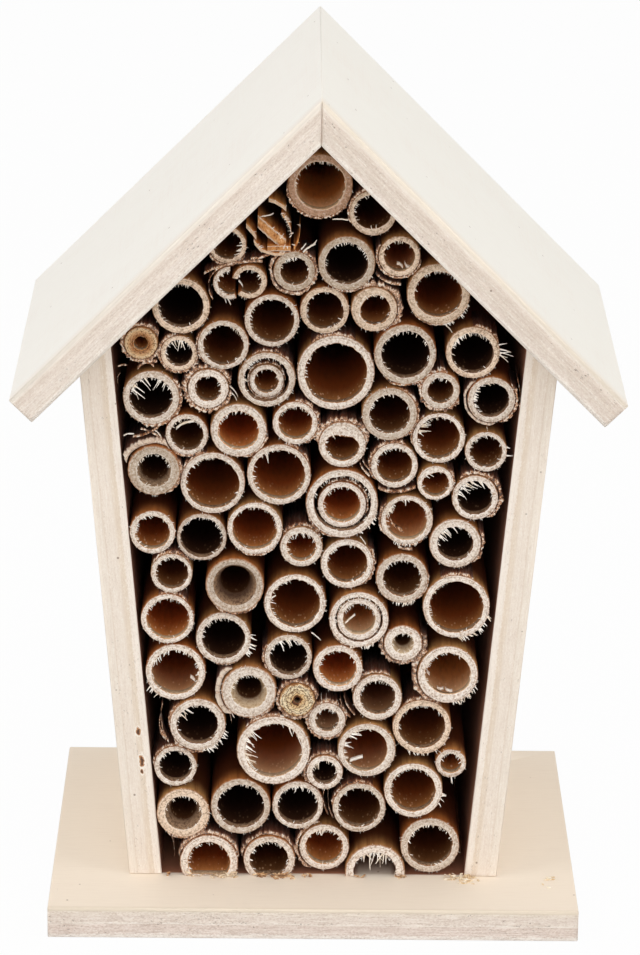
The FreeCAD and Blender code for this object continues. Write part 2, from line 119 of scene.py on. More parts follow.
# Shavings on the floor: from where to where across it, how many, how far forward of the canes' mouths,
# and how brown from 0 to 1
CRUMB_RUNS = [(-28.0, -23.0, 10, 0.6, 0.5), (-23.0, -15.5, 40, 1.1, 0.35), (-12.5, -9.5, 26, 0.8, 0.9),
              (-9.5, -4.0, 70, 1.6, 0.8), (-2.0, 2.0, 8, 0.5, 0.9), (8.0, 12.0, 6, 0.5, 0.8),
              (17.5, 20.5, 14, 0.9, 0.7), (28.2, 31.5, 36, 1.6, 0.25), (30.5, 35.8, 70, 3.4, 0.05),
              (48.0, 53.5, 8, 5.0, 0.0), (-31.6, -30.8, 5, 0.4, 1.0)]
CRUMB_LINE = -27.6
# Their least and largest size, how high they are heaped against the canes, and how far forward
CRUMB_SIZES = (0.13, 0.42)
CRUMB_HEAP = 0.9
CRUMB_HEAP_REACH = 0.8

# Where the sockets of a colour Mix node are, and the settings that many nodes share
MIX_FACTOR, MIX_A, MIX_B = 0, 6, 7
COLOUR = {"data_type": "RGBA"}
ADD = {"operation": "ADD"}
SUBTRACT = {"operation": "SUBTRACT"}
MULTIPLY = {"operation": "MULTIPLY"}
ABSOLUTE = {"operation": "ABSOLUTE"}
SMOOTH = {"interpolation_type": "SMOOTHSTEP"}

# The finishes of a cane's faces, in the order of its materials
SKIN, SAWN, BORE, FIBRE, PITH, SHEATH, JOINT, WALL, EDGE = range(9)
# How far behind the mouth the painted shade between the canes and in their bores is darkest
DARKEST = 25 * MM

# How warm and pale each kind of bore is, and which canes have it; the others are near black. The bore of
# cane_45, under the roof's apex, is made paler than its lining as painted light
BLACK_BORE = 0.03
BORES = {
    "pale": (1.75, "cane_17 cane_45 inner_19"),
    "straw": (1.35, "cane_28"),
    "tan": (1.0, "cane_15 cane_20 cane_34 lower_08 lower_09 inner_29"),
    "amber": (0.8, "cane_01 cane_03 cane_11 cane_12 cane_16 cane_27 cane_32 lower_01 middle_02 middle_03 "
                   "middle_06 upper_01 upper_06 upper_12"),
    "russet": (0.58, "split cane_06 cane_10 cane_21 cane_22 cane_25 cane_30 cane_31 cane_33 cane_38 cane_43 "
                     "lower_04 middle_07 middle_09 upper_09 inner_37"),
    "umber": (0.34, "cane_13 cane_41 lower_06 middle_01 middle_08 upper_03 upper_04 upper_07 upper_08 "
                    "upper_10 upper_11 upper_13"),
    "dark brown": (0.22, "cane_02 cane_05 cane_09 cane_23 cane_24 cane_35 middle_10 upper_14"),
}
# Bores with pale sawdust in them, and how much
DUSTY = {"cane_11": 1.0, "cane_12": 0.8, "cane_16": 0.7, "cane_17": 0.6, "cane_28": 0.4, "inner_19": 0.6,
         "lower_04": 0.8, "lower_06": 0.35, "upper_12": 0.6}
# How dull each kind of sawn end is from 0 to 1, beyond that how golden, and beyond 2 how brown: from the
# least to the most, and which canes have it; the others are a little dull. The dull kind is darkened as
# painted shade, and the brown kind, under the roof's apex, is painted shade too
RIMS = {
    "pale": (0.0, 0.08, "cane_01 cane_03 cane_04 cane_10 cane_11 cane_16 cane_17 cane_19 cane_20 cane_21 "
                        "cane_22 cane_25 cane_27 cane_33 inner_19 inner_29 lower_03 lower_08 lower_09 "
                        "middle_06 upper_04"),
    "dull": (0.35, 0.5, "cane_05 cane_09 cane_24 cane_36 cane_37 cane_41 lower_07 middle_04 upper_02 "
                        "upper_03 upper_07"),
    "grey": (0.5, 0.65, "cane_07 cane_23 cane_35 cane_39"),
    "tan": (0.6, 0.8, "cane_31 cane_44 lower_05 upper_06 upper_11"),
    "gold": (1.6, 1.7, "cane_43 upper_08 upper_09 upper_10 upper_14"),
    "light gold": (1.9, 2.0, "cane_06 cane_13 cane_40 cane_42 upper_05 upper_12 upper_13"),
    "brown": (3.0, 3.0, "cane_45"),
}

# The section of a stem's wall, with depths behind the mouth in millimetres: along the skin, how far inside
# it; across the sawn end and into the bore, the share of the wall from the bore; and further along the bore
SKIN_STEPS = [(0, 12), (0, 6), (0, 3), (0, 0.9), (0, 0.22), (0.07, 0.05), (0.2, 0)]
RIM_STEPS = [(0.66, 0), (0.4, 0), (0.2, 0), (0.06, 0.02), (0, 0.16), (0, 0.6)]
BORE_STEPS = [6, 15, 25]
# Up to which share of the wall a corner is on the bore or at its edge, and from which it is at the skin's
ON_BORE = 0.05
BORE_EDGE = 0.08
SKIN_EDGE = 0.9
# How far in the sawn end reaches at the bore's edge and elsewhere, and the bare tissue at a bore's start, in
# millimetres
SAWN_AT_BORE = 0.05
SAWN_DEPTH = 0.15
BARE_DEPTH = 2.5

# How uneven a stem is: its skin and bore as shares of their radii, then, in millimetres, how far in its mouth
# is torn, how ragged the bore's edge is, how deep the skin is chipped, how deep the saw's marks are and how
# far in they reach, and last the saw's slant as a share of the radius
SKIN_WAVE = 0.014
BORE_WAVE = 0.05
MOUTH_REACH = 0.4
RAGGED = 0.16
RAGGED_FINELY = 0.12
CHIPPED = 0.22
SAW_MARKS = 0.08
SAW_REACH = 1.0
SAW_TILT = 0.02
# How quickly its four kinds of unevenness change round the stem, and how far apart their patterns are drawn
STEM_NOISES = [(0.9, 0), (0.8, 31), (9, 57), (23, 83)]

# Canes burst open: from which angle and how far round their wall is whole, in degrees
OPENED = {"upper_10": (-131.0, 298.0)}

# Canes flattened where they lie on the floor, and one split along its length that stands on it
FLATTENED = "cane_01 cane_02"
FLOOR_SPLIT = "cane_04"

# Stems cut at a joint, where the bore narrows: the throat's share of the bore, how far it lies above the
# middle in millimetres, whether the joint's wall lines it, and what share of the stem's wall slopes into it
PLAIN_BORE = (1, 0, False, 0.0)
THROATS = {
    "cane_06": (0.74, 0.15, True, 0.0),
    "cane_15": (0.72, 0.1, True, 0.0),
    "cane_23": (0.92, 0.1, True, 0.5),
    "cane_31": (0.84, 0.1, True, 0.0),
    "lower_09": (0.70, 0.2, True, 0.0),
}
THROAT_DEPTH = 3.0
FUNNEL_DEPTH = 3.0
FUNNEL_REACH = 6.0

# What is left of the split cane's wall: from which angle and how far round in degrees, and its outer and
# inner radius in millimetres
SPLIT_WALL = (90, 202, 3.6, 2.5)
# Shards of the crushed cane: the ends of each at the mouth, across and up, how far it bows to its left, its
# thickness, how far behind the mouth it starts, and how many torn teeth its edge has; all in millimetres
SHARDS = [
    (-10.6, 158.2, -7.0, 156.2, 0.35, 0.75, 0.3, 6),
    (-7.9, 155.3, -5.9, 150.4, 0.55, 0.6, 0.0, 26),
    (-4.2, 152.9, -5.4, 147.8, 0.5, 0.8, 0.5, 4),
    (-15.2, 152.9, -13.1, 150.4, 0.05, 0.95, 0.0, 6),
    (-13.6, 149.7, -11.9, 147.4, -0.15, 0.85, 0.1, 6),
    (-12.1, 147.5, -6.1, 146.9, -0.55, 0.55, 0.2, 5),
    (-12.8, 154.6, -7.0, 149.5, -0.1, 2.7, 0.6, 10),
    (-10.8, 148.15, -6.0, 148.1, 0.1, 1.1, 0.0, 5),
]

# Reeds that are nearly all pith
PITHY = "lower_05 upper_06"
# Mouths without torn fibres
SMOOTH_MOUTHS = "cane_23 lower_05 upper_06"

# Canes whose torn tissue hangs into the bore's mouth: towards which angle in degrees, and how far in
# millimetres
LIPS = {"middle_09": (82, 1.7), "upper_09": (150, 0.6), "middle_06": (110, 0.7), "cane_05": (130, 0.3),
        "cane_12": (-20, 0.5), "cane_17": (-100, 0.4), "upper_14": (-80, 0.5)}

# Strips of sheath and long loose fibres between the canes and in their mouths: their ends across and up, how
# far each bows to its left, its thickness, how far it runs back, all in millimetres, and what it is
STRIPS = [
    (-3.4, 147.1, -0.9, 148.9, 0.1, 0.4, 0.6, "fibre"),
    (-3.9, 147.6, -2.8, 148.8, 0.0, 0.3, 0.5, "fibre"),
    (-1.3, 148.7, -0.6, 149.6, 0.0, 0.25, 0.4, "fibre"),
    (-12.0, 154.6, -9.6, 155.2, -0.15, 0.22, 0.3, "fibre"),
    (-22.9, 140.4, -20.1, 143.8, 0.5, 0.35, 8, "husk"),
    (-21.3, 143.6, -11.8, 145.1, 0.35, 0.45, 8, "husk"),
    (-23.8, 142.3, -21.3, 143.6, 0.1, 0.4, 6, "husk"),
    (-22.8, 140.4, -22.0, 136.8, -0.3, 0.4, 5, "husk"),
    (-18.9, 136.9, -18.3, 135.7, 0.0, 0.3, 1, "fibre"),
    (-19.6, 137.0, -19.2, 136.0, 0.0, 0.3, 1, "fibre"),
    (-14.2, 145.6, -10.2, 146.7, -0.3, 0.5, 7, "husk"),
    (-16.7, 140.8, -15.8, 139.5, 0.1, 0.3, 1, "fibre"),
    (-41.7, 121.9, -39.8, 122.2, 0.2, 0.16, 0.4, "husk"),
    (-41.3, 120.5, -41.7, 118.3, -0.3, 0.16, 0.4, "husk"),
    (-37.6, 121.7, -33.6, 123.2, 0.7, 0.45, 7, "husk"),
    (-36.4, 122.8, -34.2, 122.2, 0.4, 0.3, 4, "husk"),
    (-40.6, 106.9, -38.4, 107.3, 0.2, 0.2, 0.4, "fibre"),
    (-38.6, 106.7, -33.4, 108.8, -0.4, 0.3, 1.5, "husk"),
    (-37.0, 108.4, -32.4, 106.1, 0.3, 0.28, 1.2, "husk"),
    (-34.2, 108.3, -32.4, 104.8, 0.5, 0.25, 0.6, "fibre"),
    (-29.6, 108.6, -25.9, 110.2, 0.5, 0.4, 0.6, "fibre"),
    (-18.5, 117.9, -16.7, 115.6, 0.2, 0.25, 0.5, "fibre"),
    (-18.3, 116.7, -17.0, 114.8, 0.1, 0.25, 0.5, "fibre"),
    (41.4, 120.0, 41.8, 112.6, 0.5, 0.5, 12, "husk"),
    (35.2, 109.9, 35.5, 108.6, 0.0, 0.35, 2, "husk"),
    (8.8, 101.5, 11.0, 98.4, -0.2, 0.35, 6, "husk"),
    (9.4, 101.9, 11.6, 99.2, -0.2, 0.3, 6, "husk"),
    (12.8, 96.1, 15.2, 95.3, -0.2, 0.5, 6, "husk"),
    (15.0, 95.3, 20.7, 96.3, -0.5, 0.45, 7, "husk"),
    (9.1, 85.0, 10.4, 83.2, 0.1, 0.25, 0.4, "fibre"),
    (15.5, 89.2, 18.0, 86.6, -0.5, 0.5, 1.2, "husk"),
    (17.2, 82.9, 20.2, 82.4, -0.2, 0.5, 5, "husk"),
    (-32.5, 47.0, -31.2, 38.2, -0.9, 0.6, 5, "husk"),
    (-33.0, 44.0, -31.9, 39.6, -0.7, 1.4, 2, "husk"),
    (-19.0, 46.4, -17.8, 42.4, 0.3, 0.35, 4, "husk"),
    (-18.4, 45.6, -17.2, 43.8, 0.1, 0.28, 0.6, "fibre"),
    (-30.7, 16.4, -30.0, 11.4, 0.25, 0.35, 4, "husk"),
    (11.6, 142.8, 16.8, 140.4, -0.7, 0.5, 7, "husk"),
    (2.5, 154.1, 5.8, 154.0, 0.1, 0.22, 0.3, "fibre"),
    (6.2, 65.5, 8.3, 67.5, 0.1, 0.4, 0.7, "fibre"),
    (7.6, 34.1, 10.4, 35.0, 0.1, 0.5, 1.0, "fibre"),
    (26.0, 51.2, 27.4, 50.9, -0.3, 0.55, 0.7, "flap"),
    (27.8, 51.0, 29.3, 50.5, -0.3, 0.55, 0.7, "flap"),
    (23.8, 56.0, 24.4, 54.3, -0.35, 0.6, 0.7, "flap"),
    (-26.6, 53.0, -25.6, 52.2, 0.15, 0.5, 0.9, "flap"),
    (15.9, 144.9, 17.2, 144.0, 0.2, 0.6, 0.8, "flap"),
    (17.5, 145.2, 18.8, 144.0, -0.3, 0.6, 0.8, "flap"),
    (1.3, 49.4, 1.4, 48.3, 0.0, 0.6, 1.0, "flap"),
    (2.4, 49.3, 2.4, 48.4, 0.0, 0.5, 1.0, "flap"),
    (6.2, 48.9, 8.6, 44.6, -0.4, 0.4, 7, "husk"),
    (5.4, 48.3, 7.6, 44.2, -0.4, 0.35, 7, "husk"),
    (3.2, 28.0, 4.2, 20.8, -0.6, 0.4, 8, "husk"),
    (2.2, 27.4, 3.2, 21.6, -0.6, 0.35, 8, "husk"),
    (-0.9, 63.2, 1.1, 61.5, 0.1, 0.2, 0.3, "fibre"),
    (26.3, 131.7, 27.6, 130.0, 0.1, 0.2, 0.3, "fibre"),
]

# Short torn fibres along the bore's edge and along the skin: how many for each millimetre of its radius,
# their least and largest width and length in millimetres, the share of the radius at which they start, and
# how much they point away from the axis and along the saw's way
SHORT_FIBRES = {"in": (16, (0.14, 0.3), (0.22, 0.78), 1.01, -0.7, 0.6),
                "out": (6, (0.09, 0.17), (0.2, 0.6), 0.96, 0.8, 0.5)}
# The same share for the long ones, their widths, how many runs each has and how much each run tapers
LONG_FIBRE_STARTS = {"in": 1.02, "out": 0.97}
LONG_FIBRE_WIDTHS = (0.26, 0.5)
LONG_FIBRE_RUNS = 4
LONG_FIBRE_TAPER = 0.74
# Torn fibres that stand out: the cane, inside or outside, from and to which angle, how many, the shortest and
# the longest in millimetres, and which way they point. Angles are in degrees, anticlockwise from the right.
FRINGES = [
    ("cane_03", "in", 70, 110, 6, 0.6, 1.4, -90),
    ("cane_04", "in", 40, 140, 10, 1.2, 2.8, -88),
    ("cane_04", "in", 80, 104, 3, 3.4, 4.3, -90),
    ("cane_05", "in", 140, 170, 3, 0.8, 1.4, -30),
    ("cane_08", "in", 70, 120, 5, 0.7, 1.8, -85),
    ("cane_10", "out", -40, 0, 5, 0.8, 1.5, -25),
    ("cane_11", "in", 128, 205, 20, 1.6, 3.2, -35),
    ("cane_11", "in", 30, 60, 3, 1.2, 2.4, -75),
    ("cane_12", "in", 120, 175, 8, 1.2, 2.4, -15),
    ("cane_13", "out", -120, -60, 10, 0.4, 0.9, -85),
    ("cane_14", "in", 110, 150, 5, 1.2, 2.2, -55),
    ("cane_14", "out", -80, -10, 16, 0.6, 1.4, -35),
    ("cane_16", "in", 105, 165, 10, 0.8, 1.6, -95),
    ("cane_16", "out", -150, -120, 4, 0.8, 1.4, -120),
    ("cane_17", "out", -90, -20, 18, 0.5, 1.1, -55),
    ("cane_18", "out", -40, 10, 10, 0.8, 1.6, -25),
    ("cane_19", "out", -110, -60, 12, 0.5, 1.1, -85),
    ("cane_21", "in", 155, 185, 3, 0.8, 1.5, 5),
    ("cane_22", "out", -85, -15, 22, 0.6, 1.4, -50),
    ("cane_24", "out", -120, -60, 16, 0.5, 1.1, -90),
    ("cane_26", "in", 100, 160, 9, 1.2, 2.4, -40),
    ("cane_28", "in", 60, 170, 10, 0.6, 1.3, -65),
    ("cane_28", "out", -120, -60, 12, 0.4, 0.8, -85),
    ("cane_29", "out", -60, -20, 8, 0.5, 1.0, -45),
    ("cane_32", "in", 112, 124, 2, 1.8, 2.5, -50),
    ("cane_33", "in", 140, 175, 6, 1.4, 2.6, 0),
    ("cane_36", "in", 100, 165, 6, 1.6, 3.6, -48),
    ("cane_36", "in", 45, 85, 6, 1.2, 3.2, -105),
    ("cane_40", "in", 60, 150, 14, 0.6, 1.3, -60),
    ("cane_40", "out", -25, 20, 7, 1.5, 3.2, -5),
    ("cane_43", "out", -85, -20, 16, 0.5, 1.0, -50),
    ("lower_01", "out", -90, -60, 2, 1.4, 2.2, -85),
    ("lower_03", "in", 115, 140, 2, 1.0, 1.7, -80),
    ("lower_07", "in", 70, 130, 9, 1.0, 2.4, -55),
    ("middle_02", "in", 60, 130, 9, 0.6, 1.3, -85),
    ("middle_10", "in", 70, 100, 2, 1.6, 2.4, -15),
    ("middle_05", "in", 105, 170, 11, 1.4, 2.8, -30),
    ("middle_05", "in", 55, 80, 3, 1.2, 2.2, -60),
    ("middle_06", "in", 80, 170, 7, 0.8, 1.9, -20),
    ("middle_08", "out", -20, 20, 2, 0.8, 1.4, 0),
    ("middle_09", "in", 110, 165, 7, 0.8, 1.9, -75),
    ("upper_02", "in", 60, 210, 18, 0.5, 1.1, -15),
    ("upper_05", "in", 70, 125, 9, 1.0, 2.3, -80),
    ("upper_09", "in", 60, 200, 12, 0.3, 0.9, -60),
    ("upper_11", "in", 80, 130, 6, 0.5, 1.0, -85),
    ("upper_13", "in", -40, 40, 7, 0.6, 1.3, 195),
    ("upper_14", "in", -110, -75, 3, 1.0, 1.7, 100),
]

# Leaf sheaths, in millimetres: how far behind the mouth they start, how long they are, how far they keep from
# the next cane, their least thickness on the stem and off it, and how ragged their front edge is
SHEATH_STARTS = (0.1, 0.5)
SHEATH_LENGTHS = (9, 18)
SHEATH_CLEARANCE = 0.06
SHEATH_LEAST = 0.03
SHEATH_LEAST_OFF = 0.15
SHEATH_RAGGED = 0.35
# How far a sheath that lies on its stem is pressed into the unevenness of it, as a share of the radius
SHEATH_PRESS = 0.015
# What is left of the leaf sheaths: the cane, from which angle and how far round in degrees, how thick and how
# far off the stem in millimetres, and how pale from 0 to 1
SHEATHS = [
    ("cane_01", 10, 160, 0.55, 0.15, 0.2),
    ("cane_02", 15, 160, 0.55, 0.15, 0.2),
    ("cane_03", 100, 140, 0.6, 0.25, 0.16),
    ("cane_06", -130, 110, 0.4, 0.0, 0.12),
    ("cane_09", 60, 120, 0.4, 0.0, 0.04),
    ("cane_11", 70, 70, 0.35, 0.0, 0.08),
    ("cane_13", 50, 80, 0.4, 0.0, 0.08),
    ("cane_14", 130, 60, 0.4, 0.0, 0.08),
    ("cane_14", 215, 75, 0.55, 0.1, 0.08),
    ("cane_15", 125, 110, 1.2, 0.25, 0.85),
    ("cane_15", -100, 80, 0.45, 0.0, 0.04),
    ("cane_17", 130, 110, 0.9, 0.15, 0.16),
    ("cane_18", -110, 60, 0.4, 0.0, 0.12),
    ("cane_19", -150, 60, 0.4, 0.0, 0.12),
    ("cane_20", 40, 70, 0.35, 0.0, 0.08),
    ("cane_22", 60, 60, 0.4, 0.0, 0.08),
    ("cane_23", -130, 90, 0.4, 0.0, 0.08),
    ("cane_24", -60, 70, 0.4, 0.0, 0.12),
    ("cane_25", -60, 100, 0.5, 0.0, 0.08),
    ("cane_26", -50, 80, 0.55, 0.1, 0.08),
    ("cane_27", -120, 80, 0.4, 0.0, 0.12),
    ("cane_28", 140, 80, 0.5, 0.0, 0.12),
    ("cane_28", -110, 60, 0.5, 0.0, 0.04),
    ("cane_29", 200, 60, 0.4, 0.0, 0.08),
    ("cane_30", 100, 80, 0.35, 0.0, 0.08),
    ("cane_31", 55, 110, 1.3, 0.45, 0.6),
    ("cane_31", -60, 90, 0.5, 0.0, 0.16),
    ("cane_32", 20, 60, 0.35, 0.0, 0.08),
    ("cane_33", 120, 80, 0.4, 0.0, 0.04),
    ("cane_34", -80, 80, 0.4, 0.0, 0.12),
    ("cane_35", -60, 130, 0.45, 0.0, 0.04),
    ("cane_36", -110, 150, 0.6, 0.0, 0.08),
    ("cane_37", 20, 100, 0.4, 0.0, 0.08),
    ("cane_38", 60, 70, 0.4, 0.0, 0.08),
    ("cane_39", -130, 90, 0.45, 0.0, 0.04),
    ("cane_40", 20, 70, 0.4, 0.0, 0.08),
    ("cane_43", -140, 80, 0.35, 0.0, 0.12),
    ("cane_44", -120, 80, 0.35, 0.0, 0.12),
    ("cane_45", 180, 150, 0.5, 0.0, 0.08),
    ("inner_29", -30, 160, 0.3, 0.12, 0.08),
    ("inner_37", 0, 350, 0.3, 0.12, 0.08),
    ("lower_02", 60, 120, 0.4, 0.0, 0.12),
    ("lower_03", 20, 200, 0.6, 0.1, 0.16),
    ("lower_04", 0, 330, 0.6, 0.0, 0.12),
    ("lower_05", 0, 350, 0.7, 0.1, 0.16),
    ("lower_06", 60, 110, 0.5, 0.1, 0.12),
    ("lower_07", 150, 90, 0.5, 0.0, 0.12),
    ("lower_09", 160, 230, 0.75, 0.15, 0.2),
    ("middle_01", 30, 120, 0.4, 0.0, 0.08),
    ("middle_02", 30, 120, 0.5, 0.0, 0.08),
    ("middle_05", -60, 190, 0.7, 0.12, 0.08),
    ("middle_06", -30, 80, 0.4, 0.0, 0.08),
    ("middle_07", 60, 160, 0.5, 0.0, 0.08),
    ("middle_09", 0, 180, 0.9, 0.0, 0.12),
    ("middle_10", -140, 100, 0.5, 0.0, 0.12),
    ("upper_01", -70, 160, 0.5, 0.0, 0.12),
    ("upper_02", 130, 150, 0.5, 0.25, 0.7),
    ("upper_02", -70, 110, 0.5, 0.1, 0.08),
    ("upper_03", 70, 270, 0.7, 0.0, 0.08),
    ("upper_04", 10, 345, 0.9, 0.1, 0.12),
    ("upper_05", 90, 260, 0.65, 0.0, 0.12),
    ("upper_06", 20, 330, 0.6, 0.1, 0.16),
    ("upper_07", 150, 80, 0.35, 0.0, 0.12),
    ("upper_09", -70, 190, 0.9, 0.12, 0.16),
    ("upper_11", 100, 215, 0.55, 0.38, 0.2),
    ("upper_11", -60, 130, 0.6, 0.0, 0.12),
    ("upper_12", 150, 200, 0.45, 0.1, 0.12),
    ("upper_13", 200, 130, 0.4, 0.1, 0.12),
    ("upper_14", 90, 120, 0.4, 0.0, 0.12),
]

Cane = namedtuple("Cane", "name across height outer bore mouth rear")


def linear(code):
    """An sRGB hex colour as linear values."""
    channels = [int(code[start:start + 2], 16) / 255 for start in (1, 3, 5)]
    return tuple(c / 12.92 if c <= 0.04045 else ((c + 0.055) / 1.055) ** 2.4 for c in channels) + (1.0,)


def add_node(tree, kind, settings=None, inputs=None, steps=()):
    """Adds a node, with its settings, its inputs set or linked, and a colour run's steps from 0 to 1. A node
    given as an input stands for its first output in use."""
    node = tree.nodes.new(kind)
    for name, value in (settings or {}).items():
        setattr(node, name, value)
    for socket, value in (inputs or {}).items():
        if isinstance(value, bpy.types.Node):
            value = next(output for output in value.outputs if output.enabled)
        if isinstance(value, bpy.types.NodeSocket):
            tree.links.new(value, node.inputs[socket])
        else:
            node.inputs[socket].default_value = value
    if steps:
        run = node.color_ramp.elements
        while len(run) < len(steps):
            run.new(0.5)
        for element, (place, code) in zip(run, steps):
            element.position = place
            element.color = linear(code)
    return node


def new_material(name):
    """An empty node material."""
    material = bpy.data.materials.new(name)
    material.use_nodes = True
    material.node_tree.nodes.clear()
    return material, material.node_tree


def finish_material(tree, colour, roughness, bump_height=None, bump_mm=0.05, **sockets):
    """The surface shader of a rough, uncoated natural material."""
    inputs = {"Base Color": colour, "Roughness": roughness, **sockets}
    if bump_height is not None:
        inputs["Normal"] = add_node(tree, "ShaderNodeBump", inputs={
            "Height": bump_height, "Distance": bump_mm * MM})
    shader = add_node(tree, "ShaderNodeBsdfPrincipled", inputs=inputs)
    add_node(tree, "ShaderNodeOutputMaterial", inputs={"Surface": shader})


def overlaid(tree, under, over, value, clear, full, most=1.0, settings=None, only=None):
    """A colour with another laid over it: none where the value is clear, and the most where it is full; only
    in part where a second value says so."""
    share = add_node(tree, "ShaderNodeMapRange", settings, {
        "Value": value, "From Min": clear, "From Max": full, "To Max": most})
    if only is not None:
        share = add_node(tree, "ShaderNodeMath", MULTIPLY, {0: share, 1: only})
    return add_node(tree, "ShaderNodeMix", COLOUR, {MIX_FACTOR: share, MIX_A: under, MIX_B: over})


def drawn_out(tree, place, scale, detail, roughness):
    """Noise drawn out along a grain, with its scale given for each way."""
    grain = add_node(tree, "ShaderNodeMapping", inputs={"Vector": place, "Scale": scale})
    return add_node(tree, "ShaderNodeTexNoise", inputs={
        "Vector": grain, "Scale": 1.0, "Detail": detail, "Roughness": roughness})


def away_from(tree, value, middle):
    """How far a value lies from a middle, to either side."""
    offset = add_node(tree, "ShaderNodeMath", SUBTRACT, {0: value, 1: middle})
    return add_node(tree, "ShaderNodeMath", ABSOLUTE, {0: offset})


def veneer_gap(tree, colour, local, axes, share, thickness, gap):
    """A gap in the core veneer that shows at the front: pale torn edges round an orange brown hollow, dark in
    its middle as painted shade.
    """
    up, across, tall, wide = gap
    spot = add_node(tree, "ShaderNodeCombineXYZ", inputs={"X": axes.outputs["X"], "Y": 0.0, "Z": share})
    offset = add_node(tree, "ShaderNodeMapping", {"vector_type": "TEXTURE"}, {
        "Vector": spot, "Location": (up, 0, across), "Scale": (tall, 1, wide / thickness)})
    distance = add_node(tree, "ShaderNodeVectorMath", {"operation": "LENGTH"}, {0: offset})
    ragged = add_node(tree, "ShaderNodeTexNoise", inputs={"Vector": local, "Scale": 1.9, "Detail": 3.0})
    torn = add_node(tree, "ShaderNodeMath", ADD, {0: distance, 1: ragged})
    bright = overlaid(tree, colour, linear("#fbf3e8"), torn, 1.6, 1.4, 0.8)
    orange = overlaid(tree, bright, linear("#b57c48"), torn, 1.3, 1.15, 0.95)
    # The hollow's near black middle is painted shade
    hollow = overlaid(tree, orange, linear("#3f1f0d"), torn, 1.05, 0.8, 0.95)
    return overlaid(tree, colour, hollow, axes.outputs["Y"], INSIDE_FRONT + 4.0, INSIDE_FRONT + 2.0)


def dust_and_shade(tree, colour, axes, share, inner, half_inside):
    """The brown on a board's inner face behind its front: partly dust and shavings of the canes, partly
    painted shade of the inside of the house.
    """
    brown_share = add_node(tree, "ShaderNodeMapRange", inputs={
        "Value": share, "From Min": abs(inner - 0.04), "From Max": abs(inner - 0.01)})
    if half_inside is not None:
        beside = add_node(tree, "ShaderNodeMath", ABSOLUTE, {0: axes.outputs["X"]})
        between = add_node(tree, "ShaderNodeMapRange", inputs={
            "Value": beside, "From Min": half_inside + 0.3, "From Max": half_inside - 0.3})
        within = add_node(tree, "ShaderNodeMath", MULTIPLY, {0: brown_share, 1: between})
        # Under the half cane, which shades the floor itself, the brown of dust and painted shade is weaker: a
        # quarter at its mouth, full further in
        deeper = add_node(tree, "ShaderNodeMapRange", inputs={
            "Value": axes.outputs["Y"], "From Min": INSIDE_FRONT + 1.0, "From Max": INSIDE_FRONT + 9.0,
            "To Min": 0.25, "To Max": 1.0})
        under_arch = add_node(tree, "ShaderNodeMapRange", inputs={
            "Value": away_from(tree, axes.outputs["X"], ARCH_CENTRE), "From Min": 3.4, "From Max": 4.6,
            "To Min": deeper})
        brown_share = add_node(tree, "ShaderNodeMath", MULTIPLY, {0: within, 1: under_arch})
    # The brown is partly dust and partly painted shade of the inside of the house
    return overlaid(tree, colour, linear("#9a5a38"), axes.outputs["Y"], INSIDE_FRONT, INSIDE_FRONT + 0.8,
                    0.92, SMOOTH, brown_share)


